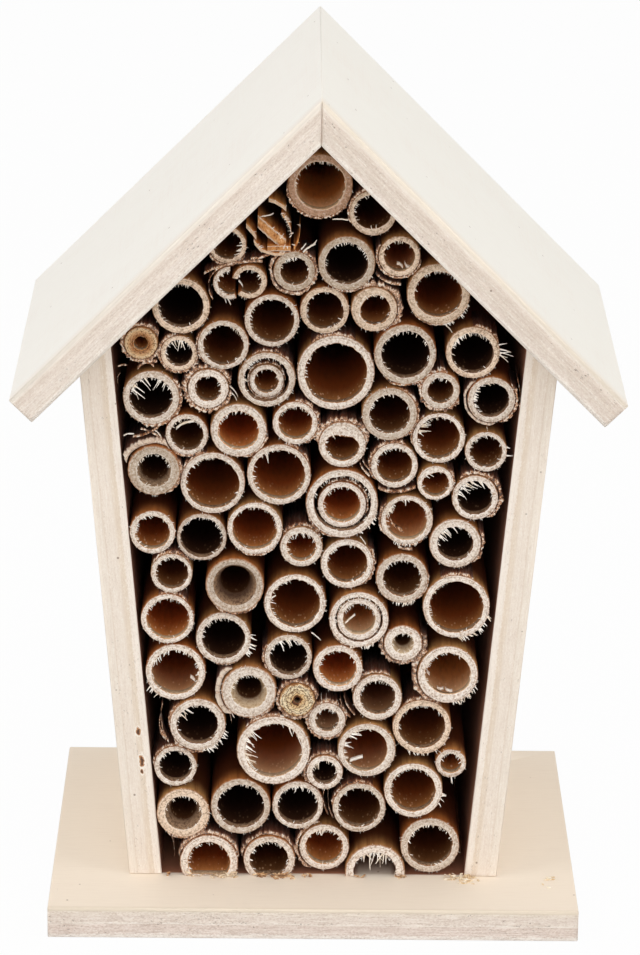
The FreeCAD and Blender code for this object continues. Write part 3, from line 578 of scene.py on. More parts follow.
def plywood(name, turn, low, thickness, plies, lively, inner=None, half_inside=None, front=None, peach=None,
            arris_shade=None, voids=()):
    """Sanded poplar plywood: smooth pale faces with hardly any figure, and sawn edges that show its plies,
    with short fibres and a few dark flecks. Inside the house it is browned, partly by dust of the canes and
    partly as painted shade."""
    material, tree = new_material(name)
    place = add_node(tree, "ShaderNodeTexCoord").outputs["Object"]
    local = add_node(tree, "ShaderNodeMapping", inputs={
        "Vector": place, "Rotation": turn, "Scale": (1 / MM,) * 3})
    axes = add_node(tree, "ShaderNodeSeparateXYZ", inputs={0: local})
    share = add_node(tree, "ShaderNodeMapRange", inputs={
        "Value": axes.outputs["Z"], "From Min": low, "From Max": low + thickness})
    # Wavy glue lines, as rotary veneer is never quite even
    wave = add_node(tree, "ShaderNodeTexNoise", inputs={"Vector": local, "Scale": 0.05, "Detail": 2.0})
    sway = add_node(tree, "ShaderNodeMapRange", inputs={
        "Value": wave, "From Min": 0.3, "From Max": 0.7, "To Min": -0.022, "To Max": 0.022})
    cross_fibre = drawn_out(tree, local, (1.9, 0.05, 3.6), 6.0, 0.75)
    tear = add_node(tree, "ShaderNodeMapRange", inputs={
        "Value": cross_fibre, "From Min": 0.3, "From Max": 0.7, "To Min": -0.03, "To Max": 0.03})
    drift = add_node(tree, "ShaderNodeMath", ADD, {0: sway, 1: tear})
    ply = add_node(tree, "ShaderNodeMath", ADD, {0: share, 1: drift})
    bands = add_node(tree, "ShaderNodeValToRGB", inputs={0: ply}, steps=plies)
    # Fibres of about 0.3 mm: along the board, and the cut ends of those in the crosswise plies
    along_fibre = drawn_out(tree, local, (0.16, 3.4, 3.4), 4.0, 0.6)
    in_core = add_node(tree, "ShaderNodeMapRange", inputs={
        "Value": away_from(tree, ply, 0.5), "From Min": 0.47, "From Max": 0.43})
    share_of_ends = add_node(tree, "ShaderNodeMath", MULTIPLY, {0: in_core, 1: 0.6})
    fibre = add_node(tree, "ShaderNodeMix", {"data_type": "FLOAT"}, {
        0: share_of_ends, 2: along_fibre, 3: cross_fibre})
    # The faces are sanded almost plain, the sawn core is far livelier
    strength = add_node(tree, "ShaderNodeMapRange", inputs={
        "Value": in_core, "To Min": 0.07, "To Max": lively})
    contrast = add_node(tree, "ShaderNodeMapRange", inputs={
        "Value": fibre, "From Min": 0.48, "From Max": 0.66})
    shade = add_node(tree, "ShaderNodeMath", MULTIPLY, {0: contrast, 1: strength})
    toned = add_node(tree, "ShaderNodeMix", COLOUR, {
        MIX_FACTOR: shade, MIX_A: bands, MIX_B: linear("#bfa18d")})
    # Torn fibre ends that catch the light
    fuzzy = overlaid(tree, toned, linear("#f6efe7"), fibre, 0.46, 0.36, 0.7, only=in_core)
    # Dark flecks about 0.5 mm wide and 7 mm apart
    knots = add_node(tree, "ShaderNodeTexVoronoi", inputs={"Vector": local, "Scale": 1 / 7.0})
    flecked = overlaid(tree, fuzzy, linear("#7d5f48"), knots, 0.046, 0.02, 0.8)
    # Short dark gaps between the fibres of the sawn core, in strings
    gaps = drawn_out(tree, local, (1.1, 0.1, 2.4), 3.0, 0.65)
    strings = drawn_out(tree, local, (0.07, 0.1, 0.55), 1.0, 0.5)
    string_mask = add_node(tree, "ShaderNodeMapRange", inputs={
        "Value": strings, "From Min": 0.46, "From Max": 0.62, "To Max": 1.6})
    in_strings = add_node(tree, "ShaderNodeMath", MULTIPLY, {0: string_mask, 1: in_core})
    colour = overlaid(tree, flecked, linear("#7a6250"), gaps, 0.62, 0.70, lively, only=in_strings)
    from_front = axes.outputs["Y"]
    if peach is not None:
        # Towards the front arris a little peach: painted shade of an arris rounder than the board's bevel
        warmer = overlaid(tree, colour, linear(peach), from_front, front + 6.0, front + 0.2, 0.9, SMOOTH)
        colour = overlaid(tree, colour, warmer, ply, 0.82, 0.9)
    if arris_shade is not None:
        # The eased arris itself, darker: painted shade where its bevel would catch more light than the faces
        above = add_node(tree, "ShaderNodeMapRange", inputs={
            "Value": share, "From Min": 0.885, "From Max": 0.905})
        colour = overlaid(tree, colour, linear(arris_shade), from_front, front + 1.3, front + 0.5, only=above)
    for gap in voids:
        colour = veneer_gap(tree, colour, local, axes, share, thickness, gap)
    if inner is not None:
        colour = dust_and_shade(tree, colour, axes, share, inner, half_inside)
    finish_material(tree, colour, 0.62, shade, 0.12)
    return material


def cane_look(tree):
    """The cane's tones, kept on its vertices: bore, rim, place from bore to skin, and a share that is
    random on the skin and tells the dust in the bore. Some rim tones are painted shade and one bore's is
    painted light."""
    look = add_node(tree, "ShaderNodeAttribute", {"attribute_name": "look"})
    parts = add_node(tree, "ShaderNodeSeparateColor", inputs={0: look.outputs["Color"]})
    return parts.outputs[0], parts.outputs[1], parts.outputs[2], look.outputs["Alpha"]


def inward(tree):
    """How far a place lies behind its cane's mouth: 0 at the mouth, 1 from the full depth on."""
    return add_node(tree, "ShaderNodeAttribute", {"attribute_name": "inward"}).outputs["Fac"]


def sawn_end():
    """The sawn end of a bamboo stem: cream and beige in patches, with the dark ends of its fibre bundles
    closer together towards the skin, a thin brown line of skin outside and whiter torn tissue inside. The
    dull and brown ends are darkened as painted shade."""
    material, tree = new_material("bamboo_sawn_end")
    _, dull_and_shade, across, _ = cane_look(tree)
    place = add_node(tree, "ShaderNodeTexCoord").outputs["Object"]
    blotch = add_node(tree, "ShaderNodeTexNoise", inputs={
        "Vector": place, "Scale": 1.8 / MM, "Detail": 5.0, "Roughness": 0.7})
    # Greyer as the tone rises: for the dull kind this is painted shade
    plain = add_node(tree, "ShaderNodeMix", COLOUR, {
        MIX_FACTOR: dull_and_shade, MIX_A: linear("#f3e5d8"), MIX_B: linear("#b09a81")})
    golden = overlaid(tree, plain, linear("#f3d8be"), dull_and_shade, 1.0, 2.0)
    # Brown beyond 2: painted shade of the end under the roof's apex
    brown = overlaid(tree, golden, linear("#bd9376"), dull_and_shade, 2.0, 3.0)
    darker = add_node(tree, "ShaderNodeMix", COLOUR, {
        MIX_FACTOR: dull_and_shade, MIX_A: linear("#b08c6d"), MIX_B: linear("#8a6c50")})
    patched = overlaid(tree, brown, darker, blotch, 0.50, 0.66, 0.85)
    whiteness = add_node(tree, "ShaderNodeMapRange", inputs={"Value": dull_and_shade, "To Min": 0.85, "To Max": 0.35})
    flecked = overlaid(tree, patched, linear("#faf3ea"), blotch, 0.47, 0.35, whiteness)
    # Fibre bundles of about 0.3 mm
    bundles = add_node(tree, "ShaderNodeTexVoronoi", inputs={"Vector": place, "Scale": 1 / (0.5 * MM)})
    dot = add_node(tree, "ShaderNodeMapRange", inputs={
        "Value": bundles, "From Min": 0.36, "From Max": 0.16, "To Max": 0.7})
    denser = add_node(tree, "ShaderNodeMapRange", inputs={
        "Value": across, "From Min": 0.1, "From Max": 0.9, "To Min": 0.25, "To Max": 0.95})
    dots = add_node(tree, "ShaderNodeMath", MULTIPLY, {0: dot, 1: denser})
    dotted = add_node(tree, "ShaderNodeMix", COLOUR, {
        MIX_FACTOR: dots, MIX_A: flecked, MIX_B: linear("#85603f")})
    # The denser outer third of the wall is set off by a faint brown line
    lined = overlaid(tree, dotted, linear("#a98769"), away_from(tree, across, 0.66), 0.09, 0.02, 0.4)
    edged = overlaid(tree, lined, linear("#a9744a"), across, 0.82, 0.98, 0.9)
    pale = overlaid(tree, edged, linear("#f8f0e5"), across, 0.2, 0.0, 0.7)
    height = add_node(tree, "ShaderNodeMath", SUBTRACT, {0: blotch, 1: dots})
    finish_material(tree, pale, 0.85, height, 0.25)
    return material


def bore_lining():
    """The inside of a bamboo stem: a thin brown lining with faint streaks along the stem and pale grains near
    the mouth; redder and darker further in, which is painted shade."""
    material, tree = new_material("bamboo_bore_lining")
    tone, _, _, dust = cane_look(tree)
    deep = inward(tree)
    place = add_node(tree, "ShaderNodeTexCoord").outputs["Object"]
    # Painted shade: the lining turns redder and darker further behind the mouth
    shade_inward = add_node(tree, "ShaderNodeMapRange", inputs={"Value": deep, "From Max": 0.4})
    warm_lining = add_node(tree, "ShaderNodeMix", COLOUR, {
        MIX_FACTOR: shade_inward, MIX_A: linear("#e8a25f"), MIX_B: linear("#c2632b")})
    # Near black bores: brown at the mouth, black further in as painted shade
    dark_lining = add_node(tree, "ShaderNodeValToRGB", inputs={0: deep}, steps=[
        (0.0, "#7a4629"), (0.03, "#4e2c1b"), (0.09, "#30190f"), (0.4, "#140b08")])
    warm = add_node(tree, "ShaderNodeMix", COLOUR, {MIX_FACTOR: tone, MIX_A: dark_lining, MIX_B: warm_lining})
    straw = add_node(tree, "ShaderNodeMix", COLOUR, {
        MIX_FACTOR: shade_inward, MIX_A: linear("#f3d9b4"), MIX_B: linear("#e0a35c")})
    pale = overlaid(tree, warm, straw, tone, 1.0, 2.0)
    streaks = drawn_out(tree, place, (1.6 / MM, 0.3 / MM, 1.6 / MM), 4.0, 0.6)
    streaked = overlaid(tree, pale, linear("#2a120a"), streaks, 0.45, 0.8, 0.3)
    # Grains of about 0.3 mm, drawn larger and three times as long as wide so that they show at a slant
    stretched = add_node(tree, "ShaderNodeMapping", inputs={
        "Vector": place, "Scale": (1 / (0.85 * MM), 1 / (2.6 * MM), 1 / (0.85 * MM))})
    grains = add_node(tree, "ShaderNodeTexVoronoi", inputs={"Vector": stretched, "Scale": 1.0})
    grain = add_node(tree, "ShaderNodeMapRange", inputs={
        "Value": grains, "From Min": 0.3, "From Max": 0.2, "To Max": 1.6})
    drifts = add_node(tree, "ShaderNodeTexNoise", inputs={"Vector": place, "Scale": 0.4 / MM, "Detail": 1.0})
    drift = add_node(tree, "ShaderNodeMapRange", inputs={"Value": drifts, "From Min": 0.42, "From Max": 0.52})
    drifted = add_node(tree, "ShaderNodeMath", MULTIPLY, {0: grain, 1: drift})
    visible = add_node(tree, "ShaderNodeMapRange", inputs={"Value": tone, "From Max": 0.6, "To Min": 0.15})
    toned_grain = add_node(tree, "ShaderNodeMath", MULTIPLY, {0: drifted, 1: visible})
    grainy = overlaid(tree, streaked, linear("#efc398"), deep, 0.42, 0.02, only=toned_grain)
    dusted = overlaid(tree, grainy, linear("#c4a486"), deep, 0.7, 0.0, 0.6, only=dust)
    finish_material(tree, dusted, 0.6, streaks, 0.1, **{"Specular IOR Level": 0.15})
    return material


def stem_skin():
    """The outside of a dry bamboo stem: tan to russet, streaked lengthwise, and darker further behind the
    mouth as painted shade of the gaps between the canes.
    """
    material, tree = new_material("bamboo_skin")
    _, _, _, chance = cane_look(tree)
    place = add_node(tree, "ShaderNodeTexCoord").outputs["Object"]
    streaks = drawn_out(tree, place, (1.1 / MM, 0.05 / MM, 1.1 / MM), 5.0, 0.6)
    base = add_node(tree, "ShaderNodeMix", COLOUR, {
        MIX_FACTOR: chance, MIX_A: linear("#ad6530"), MIX_B: linear("#b88a55")})
    toned = overlaid(tree, base, linear("#6a3315"), streaks, 0.4, 0.72, 0.7)
    # Darker further behind the mouth: painted shade between the canes
    shady = overlaid(tree, toned, linear("#5c2a15"), inward(tree), 0.0, 0.3, 0.94, SMOOTH)
    finish_material(tree, shady, 0.5, streaks, 0.06, **{"Specular IOR Level": 0.25})
    return material


def pith():
    """The soft inside of a reed: tan with fine dark dots, brown round the hole and paler towards the skin; a
    dry one has shrunk in uneven rings."""
    material, tree = new_material("reed_pith")
    moist, _, across, _ = cane_look(tree)
    place = add_node(tree, "ShaderNodeTexCoord").outputs["Object"]
    cells = add_node(tree, "ShaderNodeTexNoise", inputs={
        "Vector": place, "Scale": 2.4 / MM, "Detail": 3.0, "Roughness": 0.7})
    swell = add_node(tree, "ShaderNodeTexNoise", inputs={
        "Vector": place, "Scale": 0.7 / MM, "Detail": 3.0, "Roughness": 0.7})
    sway = add_node(tree, "ShaderNodeMapRange", inputs={
        "Value": swell, "From Min": 0.3, "From Max": 0.7, "To Min": -0.16, "To Max": 0.16})
    uneven = add_node(tree, "ShaderNodeMath", ADD, {0: across, 1: sway})
    ringed = add_node(tree, "ShaderNodeValToRGB", inputs={0: uneven}, steps=[
        (0.0, "#1d0d06"), (0.10, "#3a1a0b"), (0.14, "#c99a5e"), (0.25, "#e6c797"), (0.31, "#8a5c33"),
        (0.36, "#ead3ab"), (0.47, "#e4cba0"), (0.54, "#4a2b14"), (0.59, "#ecd8b2"), (0.70, "#e9d7b4"),
        (0.76, "#5a381d"), (0.81, "#efdfc0"), (0.92, "#d0a878"), (1.0, "#8a5c33")])
    full = add_node(tree, "ShaderNodeValToRGB", inputs={0: across}, steps=[
        (0.0, "#3a1a0b"), (0.08, "#5d2c12"), (0.18, "#99582a"), (0.40, "#bd8250"),
        (0.58, "#d2a574"), (0.86, "#e0c4a0"), (0.94, "#b98d62"), (1.0, "#9a6538")])
    body = add_node(tree, "ShaderNodeMix", COLOUR, {MIX_FACTOR: moist, MIX_A: ringed, MIX_B: full})
    specked = overlaid(tree, body, linear("#6f4626"), cells, 0.52, 0.60, 0.85)
    finish_material(tree, specked, 0.9, cells, 0.2)
    return material


def joint_wall():
    """The wall across a bamboo joint, drilled or broken through: smooth tan, darker towards the hole as
    painted shade.
    """
    material, tree = new_material("bamboo_joint_wall")
    tone, _, _, _ = cane_look(tree)
    place = add_node(tree, "ShaderNodeTexCoord").outputs["Object"]
    cells = add_node(tree, "ShaderNodeTexNoise", inputs={
        "Vector": place, "Scale": 1.5 / MM, "Detail": 4.0, "Roughness": 0.7})
    paler = add_node(tree, "ShaderNodeMapRange", inputs={"Value": tone, "From Min": 0.5, "From Max": 1.0})
    plain = add_node(tree, "ShaderNodeMix", COLOUR, {
        MIX_FACTOR: paler, MIX_A: linear("#a68464"), MIX_B: linear("#dcc3a2")})
    patch = add_node(tree, "ShaderNodeMix", COLOUR, {
        MIX_FACTOR: paler, MIX_A: linear("#4a2c19"), MIX_B: linear("#b8946a")})
    mottled = overlaid(tree, plain, patch, cells, 0.45, 0.62, 0.85)
    # Darker further behind the mouth: painted shade in the throat
    shady = overlaid(tree, mottled, linear("#4a2b18"), inward(tree), 0.03, 0.13, 0.85)
    finish_material(tree, shady, 0.8, cells, 0.15)
    return material


def dry_sheath():
    """What is left of a leaf sheath: papery, tan to red brown, with rows of pale fibre ends where it was
    sawn; some pieces are bleached."""
    material, tree = new_material("dry_leaf_sheath")
    bleached, _, _, _ = cane_look(tree)
    place = add_node(tree, "ShaderNodeTexCoord").outputs["Object"]
    fibres = drawn_out(tree, place, (1.6 / MM, 0.2 / MM, 1.6 / MM), 3.0, 0.75)
    sawn = add_node(tree, "ShaderNodeValToRGB", inputs={0: fibres}, steps=[
        (0.40, "#2b1207"), (0.46, "#8f4f24"), (0.52, "#c78f5c"), (0.58, "#f6e8d8")])
    pale = add_node(tree, "ShaderNodeMix", COLOUR, {
        MIX_FACTOR: bleached, MIX_A: sawn, MIX_B: linear("#e6d3bf")})
    # Darker behind the mouth: painted shade between the canes
    shady = overlaid(tree, pale, linear("#5a2a13"), inward(tree), 0.01, 0.06, 0.92, SMOOTH)
    finish_material(tree, shady, 0.8, fibres, 0.3)
    return material


def brad_steel():
    """Drawn steel wire, cut and set flush: grey and a little dull."""
    material, tree = new_material("drawn_steel_wire")
    place = add_node(tree, "ShaderNodeTexCoord").outputs["Object"]
    scratches = add_node(tree, "ShaderNodeTexNoise", inputs={
        "Vector": place, "Scale": 3.0 / MM, "Detail": 3.0})
    rough = add_node(tree, "ShaderNodeMapRange", inputs={"Value": scratches, "To Min": 0.3, "To Max": 0.55})
    colour = add_node(tree, "ShaderNodeMix", COLOUR, {
        MIX_FACTOR: scratches, MIX_A: linear("#b9bbbd"), MIX_B: linear("#8e9093")})
    finish_material(tree, colour, rough, Metallic=1.0)
    return material


def broken_wall():
    """A strip of bamboo wall laid bare by a break: smooth orange tan, streaked along the fibres."""
    material, tree = new_material("broken_bamboo_wall")
    place = add_node(tree, "ShaderNodeTexCoord").outputs["Object"]
    streaks = drawn_out(tree, place, (1.0 / MM, 0.08 / MM, 1.0 / MM), 4.0, 0.6)
    toned = add_node(tree, "ShaderNodeValToRGB", inputs={0: streaks}, steps=[
        (0.36, "#e0a869"), (0.5, "#cf8a45"), (0.68, "#a05f2a")])
    # Darker further behind the mouth: painted shade between the canes
    shady = overlaid(tree, toned, linear("#35180b"), inward(tree), 0.1, 0.5, 0.9, SMOOTH)
    finish_material(tree, shady, 0.6, streaks, 0.1)
    return material


def broken_edge():
    """The sawn end of a broken strip: tan with orange and dark flecks, pale along its torn edges."""
    material, tree = new_material("broken_bamboo_edge")
    thin, _, across, _ = cane_look(tree)
    place = add_node(tree, "ShaderNodeTexCoord").outputs["Object"]
    cells = add_node(tree, "ShaderNodeTexNoise", inputs={
        "Vector": place, "Scale": 1.3 / MM, "Detail": 4.0, "Roughness": 0.7})
    body = add_node(tree, "ShaderNodeValToRGB", inputs={0: cells}, steps=[
        (0.34, "#e6bd90"), (0.47, "#d3965a"), (0.6, "#b97840"), (0.72, "#6b3718")])
    half = add_node(tree, "ShaderNodeMath", MULTIPLY, {0: thin, 1: 0.55})
    paler = add_node(tree, "ShaderNodeMix", COLOUR, {MIX_FACTOR: half, MIX_A: body, MIX_B: linear("#ecd9bf")})
    edged = overlaid(tree, paler, linear("#f1e2d0"), away_from(tree, across, 0.5), 0.3, 0.46, 0.85)
    finish_material(tree, edged, 0.8, cells, 0.2)
    return material


def shavings():
    """Sawdust and shavings: straw yellow to orange brown."""
    material, tree = new_material("cane_shavings")
    brown, _, _, _ = cane_look(tree)
    place = add_node(tree, "ShaderNodeTexCoord").outputs["Object"]
    patches = add_node(tree, "ShaderNodeTexNoise", inputs={"Vector": place, "Scale": 0.9 / MM, "Detail": 2.0})
    straw = add_node(tree, "ShaderNodeValToRGB", inputs={0: patches}, steps=[
        (0.36, "#d9b888"), (0.5, "#f0dfc2"), (0.64, "#f9f1e2")])
    russet = add_node(tree, "ShaderNodeValToRGB", inputs={0: patches}, steps=[
        (0.36, "#6b3a1b"), (0.48, "#b47b45"), (0.62, "#e8c99c")])
    colour = add_node(tree, "ShaderNodeMix", COLOUR, {MIX_FACTOR: brown, MIX_A: straw, MIX_B: russet})
    finish_material(tree, colour, 0.8)
    return material


def torn_fibre():
    """Loose bamboo fibres: near white, a little yellow in places."""
    material, tree = new_material("bamboo_torn_fibre")
    place = add_node(tree, "ShaderNodeTexCoord").outputs["Object"]
    patches = add_node(tree, "ShaderNodeTexNoise", inputs={"Vector": place, "Scale": 0.5 / MM, "Detail": 2.0})
    colour = overlaid(tree, linear("#f8f1e7"), linear("#e6d3ba"), patches, 0.45, 0.7)
    finish_material(tree, colour, 0.7)
    return material


def welded(node):
    """A copy of a CAD node's mesh with its loose triangles joined."""
    bm = bmesh.new()
    bm.from_mesh(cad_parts[node].data)
    bmesh.ops.remove_doubles(bm, verts=bm.verts, dist=WELD)
    return bm


def islands(node):
    """The separate solids of a CAD node, each as the places of its corners."""
    bm = welded(node)
    seen = set()
    solids = []
    for start in bm.verts:
        if start in seen:
            continue
        seen.add(start)
        pile = [start]
        corners = []
        while pile:
            corner = pile.pop()
            corners.append(corner.co.copy())
            for edge in corner.link_edges:
                other = edge.other_vert(corner)
                if other not in seen:
                    seen.add(other)
                    pile.append(other)
        solids.append(corners)
    bm.free()
    return solids


def extent(corners):
    """The lowest and the highest place of a solid in each way."""
    return Vector(map(min, *corners)), Vector(map(max, *corners))


def measure(name, corners):
    """A cane's axis, radii and ends, from the corners of its CAD solid."""
    low, high = extent(corners)
    outer = (high.x - low.x) / 2
    across = (low.x + high.x) / 2
    height = high.z - outer
    bore = min(math.hypot(c.x - across, c.z - height) for c in corners)
    return Cane(name, across, height, outer, bore, low.y, high.y)


def bore_tone(name):
    """How warm and pale a cane's bore is."""
    for tone, names in BORES.values():
        if name in names.split():
            return tone
    return BLACK_BORE


def rim_tone(name, rng):
    """How dull, golden or brown a cane's sawn end is; the dull and brown kinds are painted shade."""
    chance = rng.random()
    for low, high, names in RIMS.values():
        if name in names.split():
            return low + (high - low) * chance
    return 0.12 + 0.16 * chance


def smooth_step(value):
    """Rises gently from 0 to 1."""
    value = min(max(value, 0.0), 1.0)
    return value * value * (3 - 2 * value)


def way_at(angle):
    """The way across a cane at an angle in degrees, anticlockwise from the right."""
    return Vector((math.cos(math.radians(angle)), math.sin(math.radians(angle))))


def tone_layers(bm):
    """Where a mesh keeps its tones, and how far behind the mouth each vertex lies for the painted shade
    further in.
    """
    return bm.verts.layers.float_color.new("look"), bm.verts.layers.float.new("inward")


def inward_share(depth):
    """A depth behind the mouth as a share of the depth at which the finishes are darkest."""
    return min(max(depth, 0.0) / DARKEST, 1.0)


def finish_faces(bm, finish, smooth):
    """Gives every face of a mesh the same finish."""
    for face in bm.faces:
        face.material_index = finish
        face.smooth = smooth


def spun(cane, outline, start, sweep, step):
    """A wall round a cane's axis, or round part of it: its outline, as radius and place along the cane, spun
    in steps of so many degrees."""
    bm = bmesh.new()
    centre = Vector((cane.across, 0, cane.height))
    ring = [bm.verts.new((cane.across + radius, along, cane.height)) for radius, along in outline]
    edges = [bm.edges.new((ring[index - 1], ring[index])) for index in range(len(ring))]
    whole = sweep == FULL_TURN
    section = [] if whole else [bm.faces.new(ring)]
    bmesh.ops.rotate(bm, verts=ring, cent=centre, matrix=Matrix.Rotation(math.radians(-start), 3, "Y"))
    bmesh.ops.spin(bm, geom=ring + edges + section, cent=centre, axis=(0, -1, 0), angle=math.radians(sweep),
                   steps=round(sweep / step), use_merge=whole)
    bmesh.ops.remove_doubles(bm, verts=bm.verts, dist=WELD)
    bmesh.ops.recalc_face_normals(bm, faces=bm.faces)
    return bm


def wall_outline(cane, throat):
    """The section of a stem's wall as radius and place along the cane, round from the rear of its skin."""
    length = cane.rear - cane.mouth
    wall = cane.outer - cane.bore
    outline = [(cane.outer, length)]
    outline += [(cane.outer - inset * MM, depth * MM) for inset, depth in SKIN_STEPS]
    outline += [(cane.bore + share * wall, depth * MM) for share, depth in RIM_STEPS]
    inside = [(1, 2)]
    if throat < 1:
        inside = [(0.97, 1.0), (0.55 + 0.45 * throat, 1.7), (0.12 + 0.88 * throat, 2.4),
                  (throat, THROAT_DEPTH)]
    inside += [(throat, depth) for depth in BORE_STEPS]
    outline += [(cane.bore * share, depth * MM) for share, depth in inside]
    outline.append((cane.bore * throat, length))
    return [(radius, cane.mouth + depth) for radius, depth in outline]


def stem_finish(cane, radius, depth):
    """The finish of a stem's wall at a radius and a depth behind the mouth. The start of a bore and the slope
    into a funnel show bare tissue, as a joint does."""
    _, _, lined, funnel = THROATS.get(cane.name, PLAIN_BORE)
    wall = cane.outer - cane.bore
    sawn_depth = (SAWN_AT_BORE if radius < cane.bore + 0.1 * wall else SAWN_DEPTH) * MM
    if radius < cane.bore + funnel * wall and depth < BARE_DEPTH * MM:
        return JOINT
    if depth < sawn_depth:
        return PITH if cane.name in PITHY.split() else SAWN
    if radius < cane.bore + 0.4 * wall:
        return JOINT if lined and depth < THROAT_DEPTH * MM else BORE
    return SKIN


def stem(cane, rng, start=0.0, sweep=FULL_TURN):
    """A hollow stem: its wall's outline spun round the axis, then made uneven as grown and sawn bamboo is. A
    broken stem has only the sweep of wall that is left, in degrees anticlockwise from the start."""
    throat, rise, _, funnel = THROATS.get(cane.name, PLAIN_BORE)
    wall = cane.outer - cane.bore
    centre = Vector((cane.across, 0, cane.height))
    bm = spun(cane, wall_outline(cane, throat), start, sweep, 4)
    look, deep = tone_layers(bm)
    seed = rng.uniform(0, 100)
    chance = rng.random()
    tone = bore_tone(cane.name) * rng.uniform(0.9, 1.0)
    dust = DUSTY.get(cane.name, 0.0)
    sawn_tone = rim_tone(cane.name, rng)
    tilt = Vector((rng.uniform(-SAW_TILT, SAW_TILT), rng.uniform(-SAW_TILT, SAW_TILT)))
    lip_angle, lip = LIPS.get(cane.name, (0, 0.0))
    lip_way = way_at(lip_angle)
    for face in bm.faces:
        middle = face.calc_center_median()
        radius = (middle - centre - Vector((0, middle.y, 0))).length
        face.material_index = stem_finish(cane, radius, middle.y - cane.mouth)
        face.smooth = True
    for vert in bm.verts:
        side = Vector((vert.co.x - cane.across, vert.co.z - cane.height))
        radius = side.length
        side.normalize()
        depth = vert.co.y - cane.mouth
        share = (radius - cane.bore) / wall
        inner = share < ON_BORE
        at_mouth = depth < MOUTH_REACH * MM
        sunk = 0.0
        if funnel:
            sunk = FUNNEL_DEPTH * MM * max(0.0, 1 - max(share, 0.0) / funnel)
            sunk *= max(0.0, 1 - depth / (FUNNEL_REACH * MM))
        # Beyond a throat the bore is given a near black tone: painted shade
        hidden = throat < 1 and inner and depth > (THROAT_DEPTH - 0.1) * MM
        vert[look] = (0.1 if hidden else tone, sawn_tone, share, dust if share < BORE_EDGE else chance)
        vert[deep] = inward_share(depth + sunk)
        share = max(share, 0.0)
        slow, slower, fine, finer = (noise.noise((side.x * change, side.y * change, seed + apart))
                                     for change, apart in STEM_NOISES)
        skin_in = SKIN_WAVE * (1 + slow) * cane.outer
        bore_out = BORE_WAVE * slower * cane.bore
        radius += share * -skin_in + (1 - share) * bore_out
        if at_mouth and share < BORE_EDGE:
            radius += (RAGGED * fine + RAGGED_FINELY * finer) * MM
        if at_mouth and share > SKIN_EDGE:
            radius -= max(0.0, finer + 0.15) * CHIPPED * MM
        if at_mouth and lip:
            hanging = lip * MM * max(0.0, side.dot(lip_way)) ** 1.6 * max(0.0, 1 - 1.4 * share)
            radius -= hanging * (1 + 0.5 * fine)
        lift = rise * MM * smooth_step(depth / (THROAT_DEPTH * MM)) if inner else 0.0
        vert.co.x = cane.across + side.x * radius
        vert.co.z = cane.height + side.y * radius + lift
        vert.co.y += sunk
        if depth < SAW_REACH * MM:
            vert.co.y += side.dot(tilt) * radius + SAW_MARKS * MM * fine
    return bm


def stand_on_floor(bm, level):
    """Cuts away what would lie below the floor, and closes the cut."""
    geometry = bm.verts[:] + bm.edges[:] + bm.faces[:]
    cut = bmesh.ops.bisect_plane(bm, geom=geometry, plane_co=(0, 0, level), plane_no=(0, 0, 1),
                                 clear_inner=True)
    edges = [part for part in cut["geom_cut"] if isinstance(part, bmesh.types.BMEdge)]
    bmesh.ops.holes_fill(bm, edges=edges)
    bmesh.ops.recalc_face_normals(bm, faces=bm.faces)


def flatten_on_floor(bm, cane, level):
    """Presses a stem's underside flat on the floor, with a thin wall left there."""
    wall = cane.outer - cane.bore
    for vert in bm.verts:
        radius = math.hypot(vert.co.x - cane.across, vert.co.z - cane.height)
        lowest = level + (0.0 if radius > cane.bore + 0.5 * wall else 0.3 * MM)
        vert.co.z = max(vert.co.z, lowest)


def spike(bm, root, way, length, width):
    """A short torn fibre: a thin three-sided spike."""
    turn = way.to_track_quat("Z", "Y").to_matrix().to_4x4()
    bmesh.ops.create_cone(bm, cap_ends=True, cap_tris=True, segments=3, radius1=width / 2, radius2=width / 7,
                          depth=length, matrix=Matrix.Translation(root + way * length / 2) @ turn)


def strand(bm, root, way, length, width, rng):
    """A long torn fibre: a thin three-sided blade drawn out in a few bending runs."""
    turn = way.to_track_quat("Z", "Y").to_matrix().to_4x4()
    made = bmesh.ops.create_circle(bm, cap_ends=True, segments=3, radius=width / 2,
                                   matrix=Matrix.Translation(root) @ turn)
    tip = made["verts"][0].link_faces[0]
    bend = Vector((rng.uniform(-0.3, 0.3), rng.uniform(-0.2, 0.2), rng.uniform(-0.3, 0.2)))
    for _ in range(LONG_FIBRE_RUNS):
        grown = bmesh.ops.extrude_face_region(bm, geom=[tip], use_keep_orig=True)
        tip = [part for part in grown["geom"] if isinstance(part, bmesh.types.BMFace)][0]
        way = (way + bend * 0.3).normalized()
        bmesh.ops.translate(bm, verts=tip.verts, vec=way * length / LONG_FIBRE_RUNS)
        middle = tip.calc_center_median()
        bmesh.ops.scale(bm, verts=tip.verts, vec=(LONG_FIBRE_TAPER,) * 3, space=Matrix.Translation(-middle))


